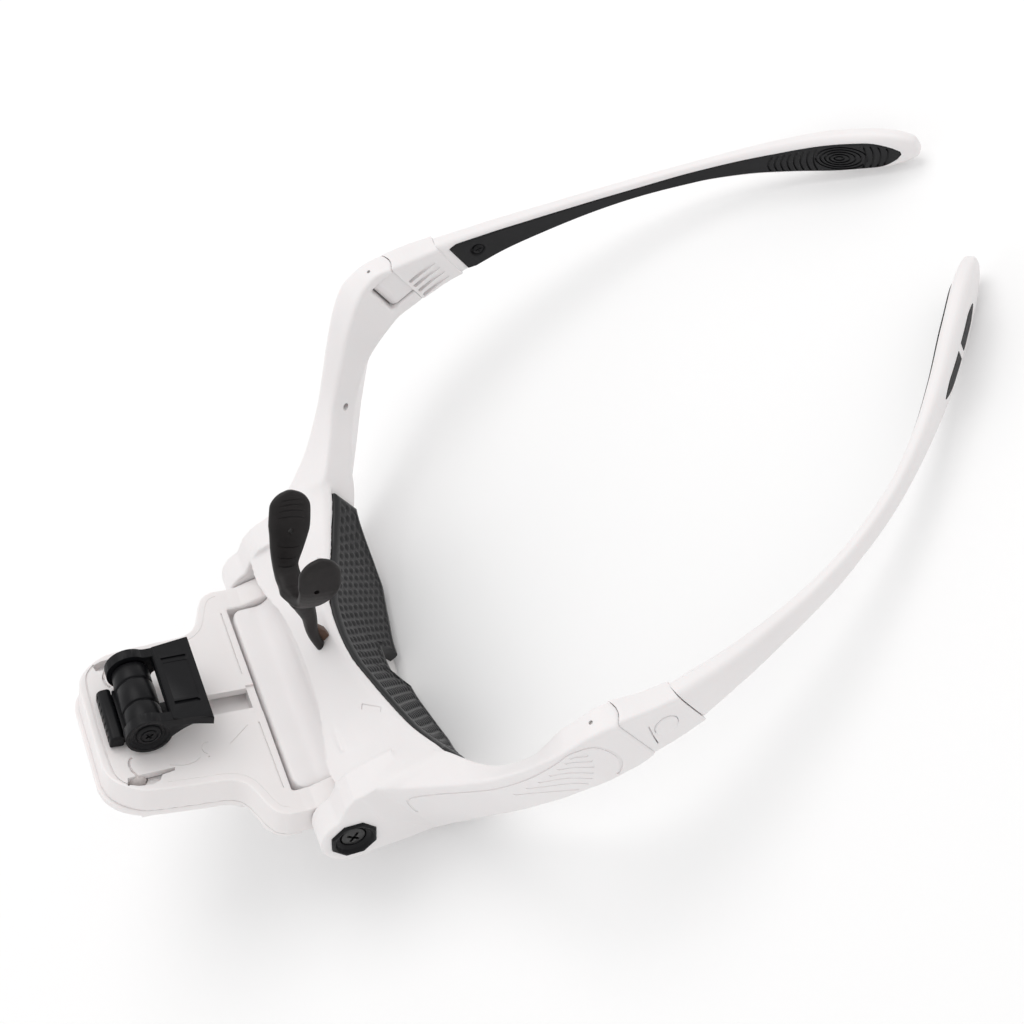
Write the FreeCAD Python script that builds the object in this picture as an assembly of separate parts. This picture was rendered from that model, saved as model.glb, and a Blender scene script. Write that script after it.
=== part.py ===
import FreeCAD, Part
import os, math
from FreeCAD import Vector as V

# Head visor magnifier: spectacle-frame visor with a tilting lamp housing, a sliding and
# flipping lens bracket and folding temples, lying upside down (crown side down).
# All lengths in mm.  Model frame: X across the head (+X = wearer's right side),
# -Y towards the lamp, +Y towards the temple tips, +Z away from the resting surface.

# ---------------------------------------------------------------- driving dimensions
PIN_X = 74.0            # temple hinge pin, half spacing
RIGHT_FOLD = 6.8        # right temple lies folded in by this many degrees
TRIM = -2.4             # the whole visor leans by this angle so brow and temple tips touch down

PIVOT_Y, PIVOT_Z = -70.3, -26.3   # lamp tilt axis
LAMP_PITCH = 42.4       # lamp housing plane, front raised
EAR_IN, EAR_OUT = 28.9, 35.4      # lamp ears, half width
BARREL_R = 5.2          # lamp ear barrel
BOSS_IN, BOSS_OUT = 35.8, 43.8    # arm bosses outside the ears
BOSS_R = 7.8
KNOB_R, KNOB_FACE = 5.7, 44.6     # octagonal pivot knob
SHANK_R = 1.5           # pivot screw shank
RUN = 0.06              # radial running clearance

LAMP_TOP, LAMP_SPLIT, LAMP_BOT = 2.6, -4.9, -7.5   # lamp housing levels above the tilt axis
WING_BOT = -6.0         # underside of the ear wings
SCREW_BOT = -6.9        # foot of the housing screw bosses
SLOT_W, TSLOT_W = 3.1, 4.7        # carriage channel half widths
CELL_R, CELL_T = 10.0, 3.2        # CR2032 coin cell
LED_R = 2.5

BAR_V, BAR_H = -39.4, 9.2         # lens bracket barrel, in the lamp frame
BAR_R = 5.5             # bracket cheek
KNUCKLE_R = 4.5
PLATE_TOP = 14.1        # bracket plate upper face above the tilt axis

HPIN_R = 1.0            # temple hinge pin
KNEE_R, SEAM_R = 5.5, 5.7         # end of the arm and front of the connector about the pin
TONGUE_LO, TONGUE_HI = -12.6, -3.6

# brow: per X station -> crest y,z | lip y,z | foot z at the rear | foot y,z at the front
BROW = [
    (0.0,  -61.7, -16.5, -50.4, -14.4, -44.0, -61.5, -44.4),
    (8.0,  -62.0, -16.5, -49.9, -14.6, -44.0, -61.5, -44.4),
    (16.0, -63.0, -16.8, -48.5, -16.2, -44.0, -61.5, -44.4),
    (24.0, -65.3, -17.4, -46.9, -18.6, -44.0, -61.5, -44.4),
    (30.0, -66.3, -17.1, -45.3, -19.8, -41.5, -61.5, -44.3),
    (36.0, -65.0, -15.8, -42.8, -19.9, -36.5, -61.0, -44.0),
    (40.0, -62.6, -15.1, -40.8, -19.4, -33.0, -59.0, -43.3),
    (44.0, -60.0, -15.4, -39.0, -18.2, -31.0, -56.5, -42.2),
]
LIP_T = 2.2             # thickness of the lip over the forehead pad
WALL_BACK = 3.2         # rear wall set back from the lip
CARRIER_T = 1.2

# side arm: outer x,y | inner x,y | z top outer, top inner, bottom inner, bottom outer
ARM = [
    (44.0, -56.5, 43.8, -39.2, -15.9, -18.2, -31.0, -42.2),
    (47.2, -51.3, 46.8, -36.9, -17.1, -17.5, -29.4, -40.9),
    (53.4, -42.2, 50.1, -34.6, -16.25, -16.95, -26.85, -37.25),
    (57.6, -36.7, 54.0, -31.7, -14.75, -15.95, -24.95, -34.35),
    (61.65, -31.5, 58.15, -28.1, -12.75, -14.25, -22.75, -31.25),
    (66.1, -25.5, 61.7, -23.8, -9.35, -12.45, -20.25, -27.35),
    (70.4, -19.4, 64.5, -19.6, -5.65, -10.45, -18.65, -23.65),
    (73.9, -13.7, 67.0, -14.9, -2.45, -7.45, -17.25, -20.35),
    (75.8, -10.0, 68.3, -10.8, -0.85, -4.75, -16.55, -18.95),
    (76.8, -7.0, 69.4, -6.8, -0.05, -2.35, -16.15, -18.55),
    (77.4, -2.9, 70.6, -2.9, 0.05, -1.15, -16.05, -18.65),
    (77.8, 0.9, 71.0, 0.9, -0.75, -0.65, -16.45, -18.85),
    (77.9, 4.3, 71.0, 4.3, -1.95, -1.75, -16.65, -18.55),
]

# temple: y | x | z | thickness | height | roll in degrees
TEMPLE = [
    (16.4, 75.8, -14.35, 5.7, 12.5, 0.0),
    (22.0, 75.4, -16.05, 5.1, 10.9, 0.0),
    (28.0, 74.8, -17.8, 4.7, 9.3, 0.0),
    (40.0, 72.7, -21.3, 3.9, 7.3, 0.0),
    (52.0, 70.0, -24.6, 3.3, 5.9, 0.0),
    (64.0, 66.1, -27.3, 3.0, 5.2, 3.0),
    (76.0, 60.9, -29.4, 3.0, 5.4, 8.0),
    (88.0, 53.9, -30.7, 3.4, 7.0, 11.0),
    (98.0, 46.7, -31.5, 4.2, 9.2, 12.0),
    (108.0, 38.4, -32.0, 4.8, 11.0, 12.0),
    (115.0, 32.2, -32.4, 4.8, 10.6, 11.0),
    (120.0, 27.8, -32.7, 4.0, 8.0, 10.0),
    (122.6, 25.5, -32.9, 2.8, 4.6, 10.0),
]
PLUG_LEN = 7.6          # temple tang in the connector socket

# lamp housing outline, right half, u (across) and v (fore and aft), from the rear middle round to the front
OUTLINE = [(35.4, -6.4), (35.4, -12.9), (34.3, -15.2), (31.8, -16.9), (28.5, -18.2), (25.5, -19.5),
           (23.5, -21.4), (22.6, -24.5), (22.2, -31.0), (21.3, -41.0), (20.1, -44.4), (18.0, -47.4),
           (15.2, -49.6), (12.0, -50.5)]
LAMP_REAR = -10.5

os.makedirs("parts", exist_ok=True)
X, Y, Z = V(1, 0, 0), V(0, 1, 0), V(0, 0, 1)
O = V(0, 0, 0)


# ---------------------------------------------------------------- helpers
def box(x0, x1, y0, y1, z0, z1):
    return Part.makeBox(x1 - x0, y1 - y0, z1 - z0, V(x0, y0, z0))


def cyl(p, d, r, h):
    return Part.makeCylinder(r, h, V(*p), V(*d))


def face(pts):
    pts = [V(*p) for p in pts]
    return Part.Face(Part.makePolygon(pts + [pts[0]]))


def prism_x(yz, x0, x1):
    return face([(x0, a, b) for a, b in yz]).extrude(V(x1 - x0, 0, 0))


def prism_z(xy, z0, z1):
    return face([(a, b, z0) for a, b in xy]).extrude(V(0, 0, z1 - z0))


def loft(polys):
    wires = []
    for p in polys:
        p = [V(*q) for q in p]
        wires.append(Part.makePolygon(p + [p[0]]))
    s = Part.makeLoft(wires, True, True)
    if s.Volume < 0:
        s.reverse()
    return s


def mirror(s):
    return s.mirror(O, X)


def fuse(first, *rest):
    out = first
    for r in rest:
        out = out.fuse(r)
    return out.removeSplitter()


def lamp(s):
    """lamp frame (u, v, h) to the model frame"""
    t = s.copy()
    t.rotate(O, X, -LAMP_PITCH)
    t.translate(V(0, PIVOT_Y, PIVOT_Z))
    return t


def cut_corners(q, c):
    """a quad with its corners cut by c"""
    out = []
    n = len(q)
    q = [V(*p) for p in q]
    for i in range(n):
        a, b, d = q[i - 1], q[i], q[(i + 1) % n]
        ea, ed = a - b, d - b
        out.append(b + ea * min(c / ea.Length, 0.4))
        out.append(b + ed * min(c / ed.Length, 0.4))
    return [(p.x, p.y, p.z) for p in out]


parts = {}

# ---------------------------------------------------------------- brow and arms
def brow_row(b, s):
    x, yc, zc, yl, zl, zb, yf, zf = b
    yr = yl - WALL_BACK
    return [(s * x, yc, zc), (s * x, yl, zl), (s * x, yl, zl - LIP_T), (s * x, yr, zl - LIP_T),
            (s * x, yr, zb), (s * x, yf, zf), (s * x, -62.4, -26.0)]


rows = [brow_row(b, -1) for b in reversed(BROW[1:])] + [brow_row(b, 1) for b in BROW]
frame = loft(rows)

# round nose between the lamp ears, with the trough in front of the crest
arc = []
for i in range(0, 15):
    t = math.radians(122.1 + i * (228.0 - 122.1) / 14)
    arc.append((PIVOT_Y + 9.8 * math.cos(t), PIVOT_Z + 9.8 * math.sin(t)))
nose = [(-60.5, -17.4), (-63.4, -18.7), (-65.6, -20.9), (-68.2, -21.8), (-70.8, -21.5), (-73.4, -19.6)] \
    + arc + [(-61.5, -44.2), (-57.0, -44.2), (-57.0, -20.0)]
nose_s = prism_x(nose, -28.5, 28.5)
frame = frame.fuse(nose_s)

# boss plates carrying the pivot knobs
plate = [(PIVOT_Y + BOSS_R * math.cos(math.radians(a)), PIVOT_Z + BOSS_R * math.sin(math.radians(a)))
         for a in range(80, 264, 8)]
plate = plate + [(-65.4, -37.8), (-56.5, -42.3), (-50.0, -38.2), (-50.0, -17.6), (-56.5, -15.9), (-61.5, -15.1),
                 (-64.6, -15.8), (-67.2, -17.5)]
for s in (1, -1):
    p = prism_x(plate, BOSS_IN, BOSS_OUT)
    frame = frame.fuse(p if s > 0 else mirror(p))


def arm_row(a, s, c=1.0):
    xo, yo, xi, yi, zto, zti, zbi, zbo = a
    return [(s * p[0], p[1], p[2]) for p in
            cut_corners([(xo, yo, zto), (xi, yi, zti), (xi, yi, zbi), (xo, yo, zbo)], c)]


arm = loft([arm_row(a, 1) for a in ARM])
# hinge: the arm ends in a knee of constant radius with a slot for the tongue, open to the inner side
knee = cyl((PIN_X, 0, -30), (0, 0, 1), KNEE_R, 40)
arm = arm.cut(box(PIN_X - 12, PIN_X + 12, 0, 12, -30, 10).cut(knee))
slot = cyl((PIN_X, 0, TONGUE_LO - 0.3), (0, 0, 1), 2.6, TONGUE_HI - TONGUE_LO + 0.6)
slot = slot.fuse(box(PIN_X - 12, PIN_X + 2.1, -2.6, 12, TONGUE_LO - 0.3, TONGUE_HI + 0.3)
                 .common(cyl((PIN_X, 0, TONGUE_LO - 0.3), (0, 0, 1), 6.3, TONGUE_HI - TONGUE_LO + 0.6)))
arm = arm.cut(slot)
arm = arm.cut(cyl((PIN_X, 0, -17.02), (0, 0, 1), HPIN_R + 0.01, 30))
frame = frame.fuse(arm).fuse(mirror(arm))

# hollow brow, closed by the cover
A, B = (-75.6, -34.45), (-62.5, -43.17)
C, D = (-61.4, -41.5), (-74.5, -32.8)
cavity = [(-57.2, -19.6), (-60.9, -20.2), (-63.5, -22.6), (-66.5, -24.4), (-70.4, -24.3), (-73.6, -22.8),
          (-76.6, -22.6), (-78.0, -26.3), (-77.3, -29.6), D, C, (-57.2, -41.8)]
frame = frame.cut(prism_x(cavity, -26.4, 26.4))
cover_poly = [A, B, C, D]
frame = frame.cut(prism_x([(-76.5, -35.2), (-62.0, -44.9), B, C, D, A], -26.4, 26.4))
parts["brow_cover"] = prism_x(cover_poly, -26.36, 26.36)

# nose pad post hole, pivot knob recesses and screw holes
frame = frame.cut(box(-2.1, 2.1, -57.0, -54.4, -24, -10))


def octagon(x0, x1, r):
    pts = [(PIVOT_Y + r * math.cos(math.radians(22.5 + 45 * i - 36)), PIVOT_Z + r * math.sin(math.radians(22.5 + 45 * i - 36)))
           for i in range(8)]
    return prism_x(pts, x0, x1)


for s in (1, -1):
    c = octagon(41.8, 46, KNOB_R + 0.04).fuse(cyl((BOSS_IN - 0.1, PIVOT_Y, PIVOT_Z), (1, 0, 0), SHANK_R + RUN, 12))
    frame = frame.cut(c if s > 0 else mirror(c))
parts["front_frame"] = frame.removeSplitter()

knob = octagon(41.84, KNOB_FACE, KNOB_R)
knob = knob.cut(cyl((43.6, PIVOT_Y, PIVOT_Z), (1, 0, 0), 4.3, 3)).cut(cyl((42.4, PIVOT_Y, PIVOT_Z), (1, 0, 0), 3.1, 4)) \
    .cut(cyl((41, PIVOT_Y, PIVOT_Z), (1, 0, 0), SHANK_R + RUN, 5))
parts["pivot_knob_right"] = knob
parts["pivot_knob_left"] = mirror(knob)
screw = cyl((42.5, PIVOT_Y, PIVOT_Z), (1, 0, 0), 3.0, 0.95).fuse(cyl((30.0, PIVOT_Y, PIVOT_Z), (1, 0, 0), SHANK_R, 12.6))
for a in (0, 90):
    b = box(43.0, 44.5, -1.7, 1.7, -0.35, 0.35)
    b.rotate(O, X, a + 20)
    b.translate(V(0, PIVOT_Y, PIVOT_Z))
    screw = screw.cut(b)
parts["pivot_screws"] = Part.makeCompound([screw, mirror(screw)])
for s, n in ((1, "right"), (-1, "left")):
    parts["hinge_pin_" + n] = cyl((s * PIN_X, 0, -17.0), (0, 0, 1), HPIN_R, 16.0)

# ---------------------------------------------------------------- forehead pad and its carrier
def pad_row(b, s, y0, y1, top, bot):
    x, yc, zc, yl, zl, zb, yf, zf = b
    return [(s * x, yl + y0, zl + top), (s * x, yl + y1, zl + top), (s * x, yl + y1, zb + bot), (s * x, yl + y0, zb + bot)]


def at_x(x):
    for p, q in zip(BROW, BROW[1:]):
        if p[0] <= x <= q[0]:
            t = (x - p[0]) / (q[0] - p[0])
            return tuple(a + (b - a) * t for a, b in zip(p, q))


stations = [b for b in BROW if b[0] < 41.5] + [at_x(42.0)]
rows = lambda y0, y1, top, bot: [pad_row(b, -1, y0, y1, top, bot) for b in reversed(stations[1:])] + \
    [pad_row(b, 1, y0, y1, top, bot) for b in stations]
carrier = loft(rows(-WALL_BACK + 0.03, -WALL_BACK + CARRIER_T, -LIP_T - 0.1, 0.0))
flap = loft([[(x, b[3] - WALL_BACK + 0.03, b[4] - 8.0), (x, b[3] - WALL_BACK + CARRIER_T, b[4] - 8.0),
              (x, b[3] - WALL_BACK + CARRIER_T, z), (x, b[3] - WALL_BACK + 0.03, z)]
             for x, z, b in [(x, z, at_x(abs(x))) for x, z in
                             ((-24.0, -43.6), (-22.0, -44.6), (-16.0, -45.0), (-8.0, -45.0), (-3.6, -45.0), (-2.2, -44.6), (-1.5, -43.8))]])
parts["pad_carrier"] = carrier.fuse(flap).removeSplitter()
pad = loft(rows(-WALL_BACK + CARRIER_T + 0.03, 1.0, -LIP_T - 0.15, 1.0))
pad = pad.cut(box(-4.0, 4.5, -60, -40, -50, -36.5))
parts["forehead_pad"] = pad

# ---------------------------------------------------------------- nose pad on its post
parts["nose_post"] = box(-2.05, 2.05, -56.95, -54.45, -22.5, -15.7)


# halves of the band over the bridge of the nose, each ending in a pad: x, y, z | width | thickness
# the pad on the +X side is bent more upright than the other
BAND = {
    -1: [(0.0, -47.7, 4.1, 7.2, 3.6), (3.2, -47.7, 4.7, 6.2, 3.3), (6.0, -46.8, 6.0, 6.0, 3.0), (7.8, -43.6, 8.6, 8.4, 2.85),
         (9.5, -40.3, 11.2, 9.8, 2.7), (12.0, -36.3, 14.7, 9.6, 2.5), (12.9, -34.8, 16.1, 7.0, 2.2), (13.4, -34.0, 16.9, 2.6, 1.8)],
    1: [(0.0, -47.7, 4.1, 7.2, 3.6), (3.0, -47.0, 4.2, 6.2, 3.3), (6.1, -45.2, 5.1, 6.0, 3.0), (8.3, -42.2, 7.6, 8.4, 2.85),
        (9.8, -39.1, 10.4, 9.8, 2.7), (9.6, -36.2, 13.9, 9.6, 2.5), (9.4, -34.6, 15.8, 7.0, 2.2), (9.3, -33.7, 16.9, 2.6, 1.8)],
}
STEM = [(-55.7, -15.9, 4.4, 2.4), (-54.0, -10.5, 4.7, 2.8), (-51.1, -5.5, 5.2, 3.6), (-49.2, -1.0, 6.4, 4.9), (-48.2, 2.6, 7.6, 5.4)]


def band_row(i, s):
    half = BAND[s]
    x, y, z, w, t = half[i]
    a, b = half[max(i - 1, 0)], half[min(i + 1, len(half) - 1)]
    d = V(1, 0, 0) if i == 0 else V(b[0] - a[0], b[1] - a[1], b[2] - a[2]).normalize()
    wid = V(0, -0.70, 0.714)
    wid = (wid - d * wid.dot(d)).normalize()
    nrm = wid.cross(d).normalize()
    q = [V(x, y, z) + wid * (a * w / 2) + nrm * (b * t / 2) for a, b in ((-1, -1), (1, -1), (1, 1), (-1, 1))]
    q = cut_corners([(k.x, k.y, k.z) for k in q], 0.7)
    return [(s * a, b, c) for a, b, c in q]


band = loft([band_row(i, -1) for i in range(7, 0, -1)] + [band_row(i, 1) for i in range(8)])
stem_rows = []
for i, (y, z, w, t) in enumerate(STEM):
    a, b = STEM[max(i - 1, 0)], STEM[min(i + 1, len(STEM) - 1)]
    d = V(0, b[0] - a[0], b[1] - a[1]).normalize()
    n = V(0, -d.z, d.y)
    q = [V(sx * w / 2, y, z) + n * (sy * t / 2) for sx, sy in ((-1, -1), (1, -1), (1, 1), (-1, 1))]
    stem_rows.append(cut_corners([(k.x, k.y, k.z) for k in q], 0.5))
nose_pad = loft(stem_rows).fuse(band)
# stiffening rib behind the foot
nose_pad = nose_pad.fuse(prism_x([(-52.2, -8.2), (-51.7, -12.6), (-52.2, -14.8), (-55.4, -15.3), (-54.3, -9.5)], -0.9, 0.9))
for s in (1, -1):
    x, y, z = BAND[s][4][:3]
    nose_pad = nose_pad.cut(Part.makeCylinder(0.6, 6, V(s * x, y, z) - V(s * -0.785, 0.445, 0.43) * 3, V(s * -0.785, 0.445, 0.43)))
# the foot of the stem is trimmed to the slant of the brow
nose_pad = nose_pad.cut(prism_x([(-64, -16.75), (-48, -13.95), (-48, -30), (-64, -30)], -8, 8))
parts["nose_pad"] = nose_pad.removeSplitter()

# ---------------------------------------------------------------- lamp housing (lamp frame)
half = OUTLINE
ring = [(EAR_IN, LAMP_REAR), (EAR_IN, -6.4)] + half
outline = ring + [(-u, v) for u, v in reversed(ring)]


def inset(pts, d):
    w = Part.makePolygon([V(u, v, 0) for u, v in pts] + [V(pts[0][0], pts[0][1], 0)])
    return Part.Face(w.makeOffset2D(-d, 2))


top = prism_z(outline, LAMP_SPLIT, LAMP_TOP)
# the ears are solid, the rest is hollow
inner = [(27.0, LAMP_REAR + 0.0)] + [(33.4, -12.4), (32.6, -14.4), (30.6, -15.7), (27.8, -16.8), (24.6, -18.2),
        (22.2, -20.4), (21.0, -24.2), (20.6, -31.0), (19.7, -40.7), (18.6, -43.6), (16.9, -46.2), (14.6, -48.1), (11.8, -48.9)]
inner = [(26.8, -12.1)] + inner[1:]
hollow = inner + [(-u, v) for u, v in reversed(inner)]
top = top.cut(prism_z(hollow, LAMP_SPLIT - 1, LAMP_TOP - 1.7))
trough = box(-6.2, 6.2, -48.6, -11.3, -2.3, LAMP_TOP - 0.5)
top = top.fuse(trough)
top = top.cut(box(-SLOT_W, SLOT_W, -46.9, -12.4, 0.7, 5)).cut(box(-TSLOT_W, TSLOT_W, -46.9, -12.4, -1.4, 0.8))
for s in (1, -1):
    w = [(11.6, -46.6), (11.6, -41.2), (14.0, -39.6), (19.4, -39.6), (18.9, -44.2), (16.6, -46.8)]
    top = top.cut(prism_z([(s * a, b) for a, b in w], LAMP_TOP - 2.2, LAMP_TOP + 1))
    shroud = box(min(s * 11.0, s * 20.2), max(s * 11.0, s * 20.2), -46.9, -39.0, -0.6, 0.2).common(prism_z(outline, -1, 1)) \
        .cut(cyl((s * 15.3, -43.4, -1), (0, 0, 1), LED_R + 0.05, 3))
    top = top.fuse(shroud)
    x0, x1 = (EAR_IN, EAR_OUT) if s > 0 else (-EAR_OUT, -EAR_IN)
    barrel = cyl((x0, 0, 0), (1, 0, 0), BARREL_R, EAR_OUT - EAR_IN)
    web = prism_x([(-9.0, LAMP_TOP), (-4.2, 3.9), (-1.0, 5.1), (-1.0, -5.1), (-9.0, -3.8)], x0, x1)
    top = top.fuse(barrel).fuse(web)
    top = top.cut(cyl((x0 - 1, 0, 0), (1, 0, 0), SHANK_R + 0.01, EAR_OUT - EAR_IN + 2))
    boss = cyl((s * 29.6, -14.2, LAMP_SPLIT), (0, 0, 1), 2.6, LAMP_TOP - 1.7 - LAMP_SPLIT + 0.2)
    top = top.fuse(boss).cut(cyl((s * 29.6, -14.2, LAMP_SPLIT - 1), (0, 0, 1), 1.1, 6.2))
# switch slot in the left wall
top = top.cut(box(-24, -19, -38.0, -29.0, -2.75, -0.55))
parts["lamp_top_shell"] = lamp(top.removeSplitter())

# the lower shell bulges a little past the cover at the front
BULGE = {-44.4: (20.3, -44.8), -47.4: (18.3, -48.0), -49.6: (15.4, -50.4), -50.5: (12.0, -51.4)}
low = [BULGE.get(v, (u, v)) for u, v in half if v < -9.2]
ring_b = [(EAR_IN, LAMP_REAR), (EAR_IN, -9.2), (EAR_OUT, -9.2)] + low
out_b = ring_b + [(-u, v) for u, v in reversed(ring_b)]


def drawn(k, h):
    return [(u * k, -31.0 + (v + 31.0) * k, h) for u, v in out_b]


bottom = loft([drawn(1.0, LAMP_SPLIT - 0.02), drawn(1.0, LAMP_BOT + 1.3), drawn(0.955, LAMP_BOT)])
bottom = bottom.cut(prism_z(hollow, LAMP_BOT + 1.5, LAMP_SPLIT + 1))
bottom = bottom.common(box(-23.5, 23.5, -60, 0, -10, 0))
wings = prism_z(out_b, WING_BOT, LAMP_SPLIT - 0.02)
for s in (1, -1):
    bottom = bottom.fuse(wings.common(box(min(s * 22.5, s * 40), max(s * 22.5, s * 40), -30, 0, -10, 0)))
# battery bay: hole through the floor, U-shaped door rails outside
bottom = bottom.cut(box(-15.9, 15.9, -40.3, -19.7, LAMP_BOT - 1, LAMP_BOT + 3))
for s in (1, -1):
    x0, x1 = (17.4, 19.6) if s > 0 else (-19.6, -17.4)
    bottom = bottom.fuse(box(x0, x1, -44.6, -16.0, LAMP_BOT - 1.6, LAMP_BOT))
    bottom = bottom.fuse(cyl((s * 29.6, -14.2, SCREW_BOT), (0, 0, 1), 3.4, -SCREW_BOT + LAMP_SPLIT - 0.02))
    bottom = bottom.cut(cyl((s * 29.6, -14.2, SCREW_BOT - 1), (0, 0, 1), 1.15, 6)) \
        .cut(cyl((s * 29.6, -14.2, SCREW_BOT - 1), (0, 0, 1), 2.3, 2.3))
bottom = bottom.fuse(box(-19.6, 19.6, -18.1, -16.0, LAMP_BOT - 1.6, LAMP_BOT))
# rib behind the cells
bottom = bottom.fuse(box(-20.2, 20.2, -19.6, -18.4, LAMP_BOT + 1.4, -4.95))
parts["lamp_bottom_shell"] = lamp(bottom.removeSplitter())
sc = [cyl((s * 29.6, -14.2, SCREW_BOT + 0.1), (0, 0, 1), 2.2, 1.15).fuse(cyl((s * 29.6, -14.2, SCREW_BOT + 1), (0, 0, 1), 1.05, 6.0))
      for s in (1, -1)]
parts["shell_screws"] = Part.makeCompound([lamp(s) for s in sc])

door = box(-17.2, 17.2, -42.2, -18.4, LAMP_BOT - 1.5, LAMP_BOT - 0.08)
door = door.cut(box(-6, 6, -41.2, -40.6, LAMP_BOT - 2, LAMP_BOT - 1.0)).cut(box(-6, 6, -39.8, -39.2, LAMP_BOT - 2, LAMP_BOT - 1.0)) \
    .cut(box(-6, 6, -38.4, -37.8, LAMP_BOT - 2, LAMP_BOT - 1.0))
parts["battery_door"] = lamp(door)
cells = [cyl((s * 10.3, -30.0, -5.95), (0, 0, 1), CELL_R, CELL_T) for s in (1, -1)]
parts["coin_cells"] = Part.makeCompound([lamp(c) for c in cells])
contact = box(-14, 14, -31.5, -28.5, -2.72, -2.42)
parts["battery_contact"] = lamp(contact)
board = box(-16.4, 16.4, -46.1, -41.2, -4.6, -3.6)
parts["led_board"] = lamp(board)
for s, n in ((1, "right"), (-1, "left")):
    led = cyl((s * 15.3, -43.4, -3.55), (0, 0, 1), 2.9, 1.0).fuse(cyl((s * 15.3, -43.4, -2.6), (0, 0, 1), LED_R, 2.6)) \
        .fuse(Part.makeSphere(LED_R, V(s * 15.3, -43.4, 0.0), Z, 0, 90, 360))
    parts["led_" + n] = lamp(led)
switch = box(-23.4, -20.9, -37.6, -33.2, -2.45, -0.85).fuse(box(-20.9, -19.2, -37.7, -32.6, -2.55, -0.75))
parts["power_switch"] = lamp(switch)

# ---------------------------------------------------------------- lens carriage and bracket (lamp frame)
car = box(-TSLOT_W + 0.3, TSLOT_W - 0.3, -46.4, -30.6, -1.0, 0.4)
car = car.fuse(box(-SLOT_W + 0.25, SLOT_W - 0.25, -44.3, -30.6, 0.3, 3.2))
car = car.fuse(box(-6.6, 6.6, -44.2, -34.6, 3.1, 6.2))
knuckle = cyl((-8.3, BAR_V, BAR_H), (1, 0, 0), KNUCKLE_R, 16.6)
for a, b in ((-3.6, -2.9), (2.9, 3.6)):
    ringc = cyl((a, BAR_V, BAR_H), (1, 0, 0), 8, b - a).cut(cyl((a - 1, BAR_V, BAR_H), (1, 0, 0), KNUCKLE_R - 0.6, 3))
    knuckle = knuckle.cut(ringc)
car = car.fuse(prism_x([(-43.6, 6.0), (-35.4, 6.0), (-35.3, BAR_H), (-43.5, BAR_H)], -6.6, 6.6)).fuse(knuckle)
car = car.cut(cyl((-20, BAR_V, BAR_H), (1, 0, 0), 1.5 + RUN, 40))
parts["lens_carriage"] = lamp(car.removeSplitter())
grip = box(-7.4, 7.4, -47.6, -44.25, 2.9, 6.4)
grip = grip.cut(box(-9, 9, -48.0, -46.9, 5.6, 7))
parts["carriage_grip"] = lamp(grip)

bracket = None
for s in (1, -1):
    x0, x1 = (8.6, 11.2) if s > 0 else (-11.2, -8.6)
    cheek = cyl((x0, BAR_V, BAR_H), (1, 0, 0), BAR_R, 2.6)
    flare = prism_x([(BAR_V + 0.5, BAR_H + BAR_R - 0.05), (-33.0, PLATE_TOP - 0.35), (-29.0, PLATE_TOP), (-24.9, PLATE_TOP),
                     (-24.9, PLATE_TOP - 1.9), (-31.0, PLATE_TOP - 4.0), (BAR_V + 5.0, BAR_H - 1.6), (BAR_V, BAR_H - 3.0)], x0, x1)
    c = cheek.fuse(flare)
    bracket = c if bracket is None else bracket.fuse(c)
plate_xy = [(11.2, -36.0), (12.7, -24.9), (-12.7, -24.9), (-11.2, -36.0), (-8.65, -36.0), (-8.65, -34.0), (8.65, -34.0), (8.65, -36.0)]
pl = prism_z(plate_xy, PLATE_TOP - 2.6, PLATE_TOP)
bracket = bracket.fuse(pl)
# lens tongue socket and the two rail slots of the plate
bracket = bracket.cut(box(-7.5, 7.5, -32.5, -24.0, PLATE_TOP - 2.0, PLATE_TOP - 0.8))
for s in (1, -1):
    bracket = bracket.cut(box(min(s * 6.2, s * 7.2), max(s * 6.2, s * 7.2), -32.6, -26.8, PLATE_TOP - 0.5, PLATE_TOP + 1))
bracket = bracket.cut(cyl((-20, BAR_V, BAR_H), (1, 0, 0), 1.5, 40))
for s in (1, -1):
    bracket = bracket.cut(cyl((s * 10.2, BAR_V, BAR_H), (s, 0, 0), 3.1, 3))
parts["lens_bracket"] = lamp(bracket.removeSplitter())
parts["bracket_pin"] = lamp(cyl((-10.1, BAR_V, BAR_H), (1, 0, 0), 1.5 - 0.01, 20.2))
caps = []
for s in (1, -1):
    h = cyl((s * 10.22, BAR_V, BAR_H), (s, 0, 0), 3.0, 0.8)
    for a in (10, 100):
        b = box(-0.3, 0.3, -1.5, 1.5, -0.3, 0.3)
        b.rotate(O, X, a)
        b.translate(V(s * 11.0, BAR_V, BAR_H))
        h = h.cut(b)
    caps.append(h)
parts["bracket_caps"] = Part.makeCompound([lamp(c) for c in caps])

# ---------------------------------------------------------------- connectors, buttons, temples (right side, open)
CON = [
    (1.0, 77.85, 71.0, -0.8, -0.75, -16.55, -18.85),
    (4.2, 77.95, 71.1, -1.95, -1.75, -16.85, -18.75),
    (8.0, 78.35, 71.8, -3.55, -3.95, -17.85, -19.35),
    (12.0, 78.6, 72.5, -5.65, -6.25, -18.95, -20.05),
    (16.2, 78.7, 72.9, -7.85, -8.25, -20.35, -20.75),
]
con = loft([cut_corners([(xo, y, zto), (xi, y, zti), (xi, y, zbi), (xo, y, zbo)], 0.9)
            for y, xo, xi, zto, zti, zbi, zbo in CON])
con = con.cut(cyl((PIN_X, 0, -40), (0, 0, 1), SEAM_R, 60))
tongue = cyl((PIN_X, 0, TONGUE_LO), (0, 0, 1), 2.3, TONGUE_HI - TONGUE_LO)
tongue = tongue.fuse(box(PIN_X - 2.2, PIN_X + 1.8, 0, 6.2, TONGUE_LO, TONGUE_HI))
con = con.fuse(tongue).cut(cyl((PIN_X, 0, -40), (0, 0, 1), HPIN_R + RUN, 60))
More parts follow.
